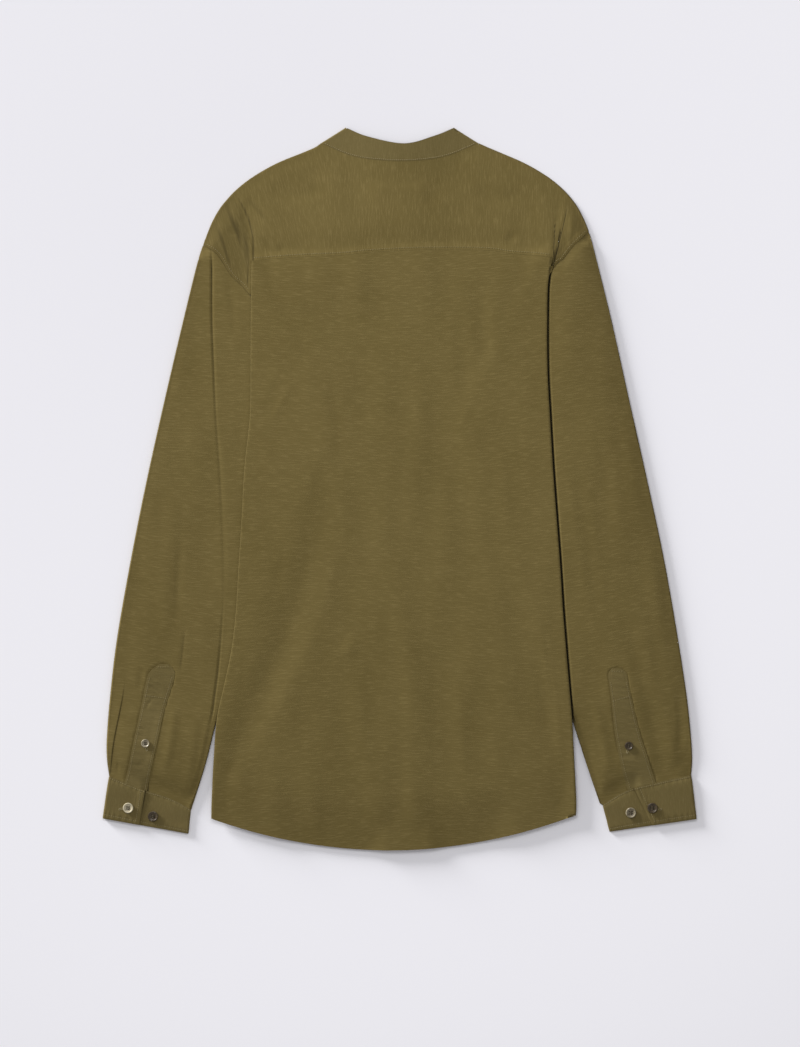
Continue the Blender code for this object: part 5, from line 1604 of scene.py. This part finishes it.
def turned_disc():
    """A button of radius 1 and height 1 in unit sizes, before its holes are cut."""
    angles = np.linspace(0, 2 * np.pi, BUTTON_SIDES, endpoint=False)
    points = [(0, 0, 0)]
    for ring in BUTTON_PROFILE:
        points += [(ring.out * np.cos(a), ring.out * np.sin(a), ring.up) for a in angles]
    points.append((0, 0, BUTTON_PROFILE[-1].up - 0.02))
    faces = []
    for i in range(BUTTON_SIDES):
        j = (i + 1) % BUTTON_SIDES
        faces.append((0, 1 + j, 1 + i))
        for ring in range(len(BUTTON_PROFILE) - 1):
            base, above = 1 + ring * BUTTON_SIDES, 1 + (ring + 1) * BUTTON_SIDES
            faces.append((base + i, base + j, above + j, above + i))
        last = 1 + (len(BUTTON_PROFILE) - 1) * BUTTON_SIDES
        faces.append((last + i, last + j, len(points) - 1))
    mesh = bpy.data.meshes.new("disc")
    mesh.from_pydata(points, [], faces)
    return mesh


def drilled_button():
    """The disc's points and faces once its four holes are through it."""
    disc = placed("disc", turned_disc())
    drills = bmesh.new()
    for corner in range(4):
        angle = np.pi / 4 + corner * np.pi / 2
        made = bmesh.ops.create_cone(drills, cap_ends=True, segments=HOLE_SIDES, radius1=HOLE_RADIUS,
                                     radius2=HOLE_RADIUS, depth=3.0)
        bmesh.ops.translate(drills, verts=made["verts"],
                            vec=(HOLE_OUT * np.cos(angle), HOLE_OUT * np.sin(angle), 0.4))
    drill_mesh = bpy.data.meshes.new("drills")
    drills.to_mesh(drill_mesh)
    drills.free()
    drill = placed("drills", drill_mesh)
    cut = disc.modifiers.new("holes", "BOOLEAN")
    cut.operation, cut.solver, cut.object = "DIFFERENCE", "EXACT", drill
    mesh = made_plain(disc)
    points = np.array([v.co[:] for v in mesh.vertices])
    faces = [tuple(f.vertices) for f in mesh.polygons]
    bpy.data.objects.remove(drill)
    bpy.data.meshes.remove(mesh)
    return points, faces


disc_points, disc_faces = drilled_button()


def build_button(name, x, y, z, radius, tone, face_down=False):
    """One button whose lower side is at z, turned face down if it is a front one."""
    points = disc_points * [radius, radius, BUTTON_THICK]
    if face_down:
        points = points * [1, -1, -1] + [0, 0, BUTTON_THICK]
    mesh = bpy.data.meshes.new(name)
    mesh.from_pydata(((points + [x, y, z]) * MM).tolist(), [], disc_faces)
    # a painted highlight: the rim is paler than the dished face, most at two opposite sides, where
    # light glints on polished shell
    out = np.linalg.norm(disc_points[:, :2], axis=1)
    bearing = np.arctan2(disc_points[:, 1], disc_points[:, 0]) - HIGHLIGHT_BEARING
    rim = climb(out, HIGHLIGHT_STARTS) * (HIGHLIGHT_LEAST + (1 - HIGHLIGHT_LEAST) * np.cos(bearing) ** 2)
    marked(mesh, "tone", tone * (FACE_TONE + RIM_HIGHLIGHT * rim))
    mesh.materials.append(shell_finish)
    mesh.shade_smooth()
    mesh.set_sharp_from_angle(angle=np.radians(SHARP_ANGLE))
    return placed(name, mesh)


def thread_bars(x, y, z, radius, face_down):
    """Two bars of three strands each, from hole to hole over the face of the button."""
    reach, share = HOLE_OUT * radius * np.sqrt(0.5), np.linspace(-1, 1, BAR_PLACES)
    over = BUTTON_PROFILE[-1].up * BUTTON_THICK + BAR_RISE * (1 - share ** 4)
    over = over - BAR_DIVE * np.abs(share) ** 6
    over = BUTTON_THICK - over if face_down else over
    return [np.column_stack([x + share * (reach + BAR_OVERRUN),
                             np.full(BAR_PLACES, y + bar * reach + strand), z + over])
            for bar in (-1, 1) for strand in STRANDS]


def nearest_face(grid, line):
    """The plan line laid on the grid's upper face, by its nearest points."""
    spread = grid.reshape(-1, 3)
    closest = np.argmin(((spread[None, :, :2] - line[:, None]) ** 2).sum(axis=-1), axis=1)
    return np.column_stack([line, spread[closest, 2] + WALL / 2])


def buttonhole(centre, direction, half_length):
    """A corded loop of buttonhole stitch round its slit, as a plan line."""
    along = unit(np.array(direction, float))
    aside = np.array([-along[1], along[0]]) * SLIT_HALF
    ends = [centre - along * half_length, centre + along * half_length]
    corners = [ends[0] + aside, ends[1] + aside, ends[1] - aside, ends[0] - aside, ends[0] + aside]
    return even(np.array(corners), 40)


bars, holes = [], []


def sewn_on(name, x, y, z, radius, tone, face_down=False):
    """One button with its bars of thread, in the place of its solid."""
    piece = build_button(name + "_disc", x, y, z, radius, tone, face_down)
    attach(piece, "root")
    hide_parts(name)
    bars.extend(thread_bars(x, y, z, radius, face_down))


for button in SLEEVE_BUTTONS:
    side = "left" if button.x < 0 else "right"
    at = np.array([button.x, button.y])
    cuff_top, cuff_middle = cuff_grids[side]
    if "placket" in button.name:
        direction, slip = (-SIGN[side] * PLACKET_HOLE_LEAN, -1.0), PLACKET_SLIP
        grid = placket_grids[side]
    elif "spare" in button.name:
        grid, direction, slip = cuff_middle, None, 0
    else:
        grid, direction, slip = cuff_top, (SIGN[side], CUFF_HOLE_LEAN), CUFF_SLIP
    rest = nearest_face(grid, at[None])[0, 2] + BUTTON_REST
    sewn_on(button.name, button.x, button.y, rest, button.radius, button.tone)
    if direction:
        middle = at + unit(np.array(direction)) * slip
        loop = buttonhole(middle, direction, button.radius + SLEEVE_CORD)
        holes.append(nearest_face(grid, loop) + [0, 0, CORD_RISE])
front_rows = [(f"front_button_{i + 1}", x_at(centre_front, BUTTON_TOP - i * BUTTON_PITCH),
               BUTTON_TOP - i * BUTTON_PITCH, tone, (0, 1)) for i, tone in enumerate(FRONT_TONES)]
front_rows.append(("collar_button", centre_x, FRONT_NECK_LOW + FRONT_BAND_HEIGHT / 2,
                   COLLAR_BUTTON_TONE, (1, 0)))
for name, x, y, tone, direction in front_rows:
    sewn_on(name, x, y, 0, BUTTON_RADIUS, tone, face_down=True)
    loop = buttonhole(np.array([x, y]), direction, BUTTON_RADIUS + FRONT_CORD)
    holes.append(under_cloth(loop, front_height))
button_threads = stitched("button_threads", bars, button_thread, 61, pitch=0.5, length=0.95,
                          radius=0.19)
corded_holes = stitched("buttonholes", holes, olive_thread, 71, pitch=0.55, length=1.1, radius=0.3)
for piece, slot in ((button_threads, "button"), (corded_holes, "double_jersey")):
    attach(piece, "root")

# Floor, light and camera -------------------------------------------------------------------------
# A pale matt studio surface, a wide soft lamp up and to the left, even light all round, and a long
# lens that looks straight down.

# The board is painted darker under the overhead lamp and paler away from it: painted shade that evens
# out the lamp's pool of light.
FLOOR_REACH, FLOOR_Z, LIT_MIDDLE = 14, -0.0002, (0.12, -0.30, 0)
BOARD_MIDDLE, BOARD_FAR = (0.724, 0.717, 0.757, 1), (0.952, 0.944, 0.992, 1)
floor_mesh = bpy.data.meshes.new("floor")
floor_mesh.from_pydata([(x * FLOOR_REACH, y * FLOOR_REACH, FLOOR_Z)
                        for x, y in ((-1, -1), (1, -1), (1, 1), (-1, 1))], [], [(0, 1, 2, 3)])
floor = placed("floor", floor_mesh)
matt, tree, shader = new_material("matt_board")
place = node(tree, "ShaderNodeTexCoord", (-900, 0))
centred = node(tree, "ShaderNodeMapping", (-700, 0),
               {"Location": LIT_MIDDLE, "Vector": place.outputs["Object"]})
away = node(tree, "ShaderNodeVectorMath", (-500, 0), {0: centred.outputs["Vector"]}, operation="LENGTH")
outer = rise(tree, (-300, 0), away.outputs["Value"], 0.0, 1.0)
feed(shader, {"Base Color": blend(tree, (-100, 0), outer, BOARD_MIDDLE, BOARD_FAR), "Roughness": 0.95,
              "Specular IOR Level": 0.1})
floor_mesh.materials.append(matt)

SUN_TURN, SUN_HEIGHT, SUN_ENERGY, SUN_SPREAD = 48.0, 9.5, 5.6, 0.28
OVERHEAD, OVERHEAD_SIZE, OVERHEAD_ENERGY, ROUND_STRENGTH = (-0.12, 0.30, 1.0), 0.6, 4.3, 0.43
turn, up = np.radians(SUN_TURN), np.radians(SUN_HEIGHT)
aside = Vector((np.sin(turn) * np.cos(up), -np.cos(turn) * np.cos(up), -np.sin(up)))
sun_data = bpy.data.lights.new("low_lamp", "SUN")
sun_data.energy = SUN_ENERGY
sun_data.angle = SUN_SPREAD
sun = placed("low_lamp", sun_data)
sun.rotation_euler = aside.to_track_quat("-Z", "Y").to_euler()
lamp_data = bpy.data.lights.new("overhead_lamp", "AREA")
lamp_data.shape = "DISK"
lamp_data.size = OVERHEAD_SIZE
lamp_data.energy = OVERHEAD_ENERGY
placed("overhead_lamp", lamp_data).location = OVERHEAD

world = bpy.data.worlds.new("studio")
world.use_nodes = True
feed(world.node_tree.nodes["Background"], {"Color": (1.0, 0.995, 1.0, 1), "Strength": ROUND_STRENGTH})
bpy.context.scene.world = world
bpy.context.scene.view_settings.view_transform = "Standard"

LENS, VIEW_HEIGHT, VIEW_X, VIEW_Y = 95.0, 1.1517, 0.0004, -0.038
camera_data = bpy.data.cameras.new("camera")
camera_data.lens = LENS
camera_data.clip_end = 50
camera = placed("camera", camera_data)
camera.location = (VIEW_X, VIEW_Y, LENS / camera_data.sensor_width * VIEW_HEIGHT)
bpy.context.scene.camera = camera

bpy.context.view_layer.update()
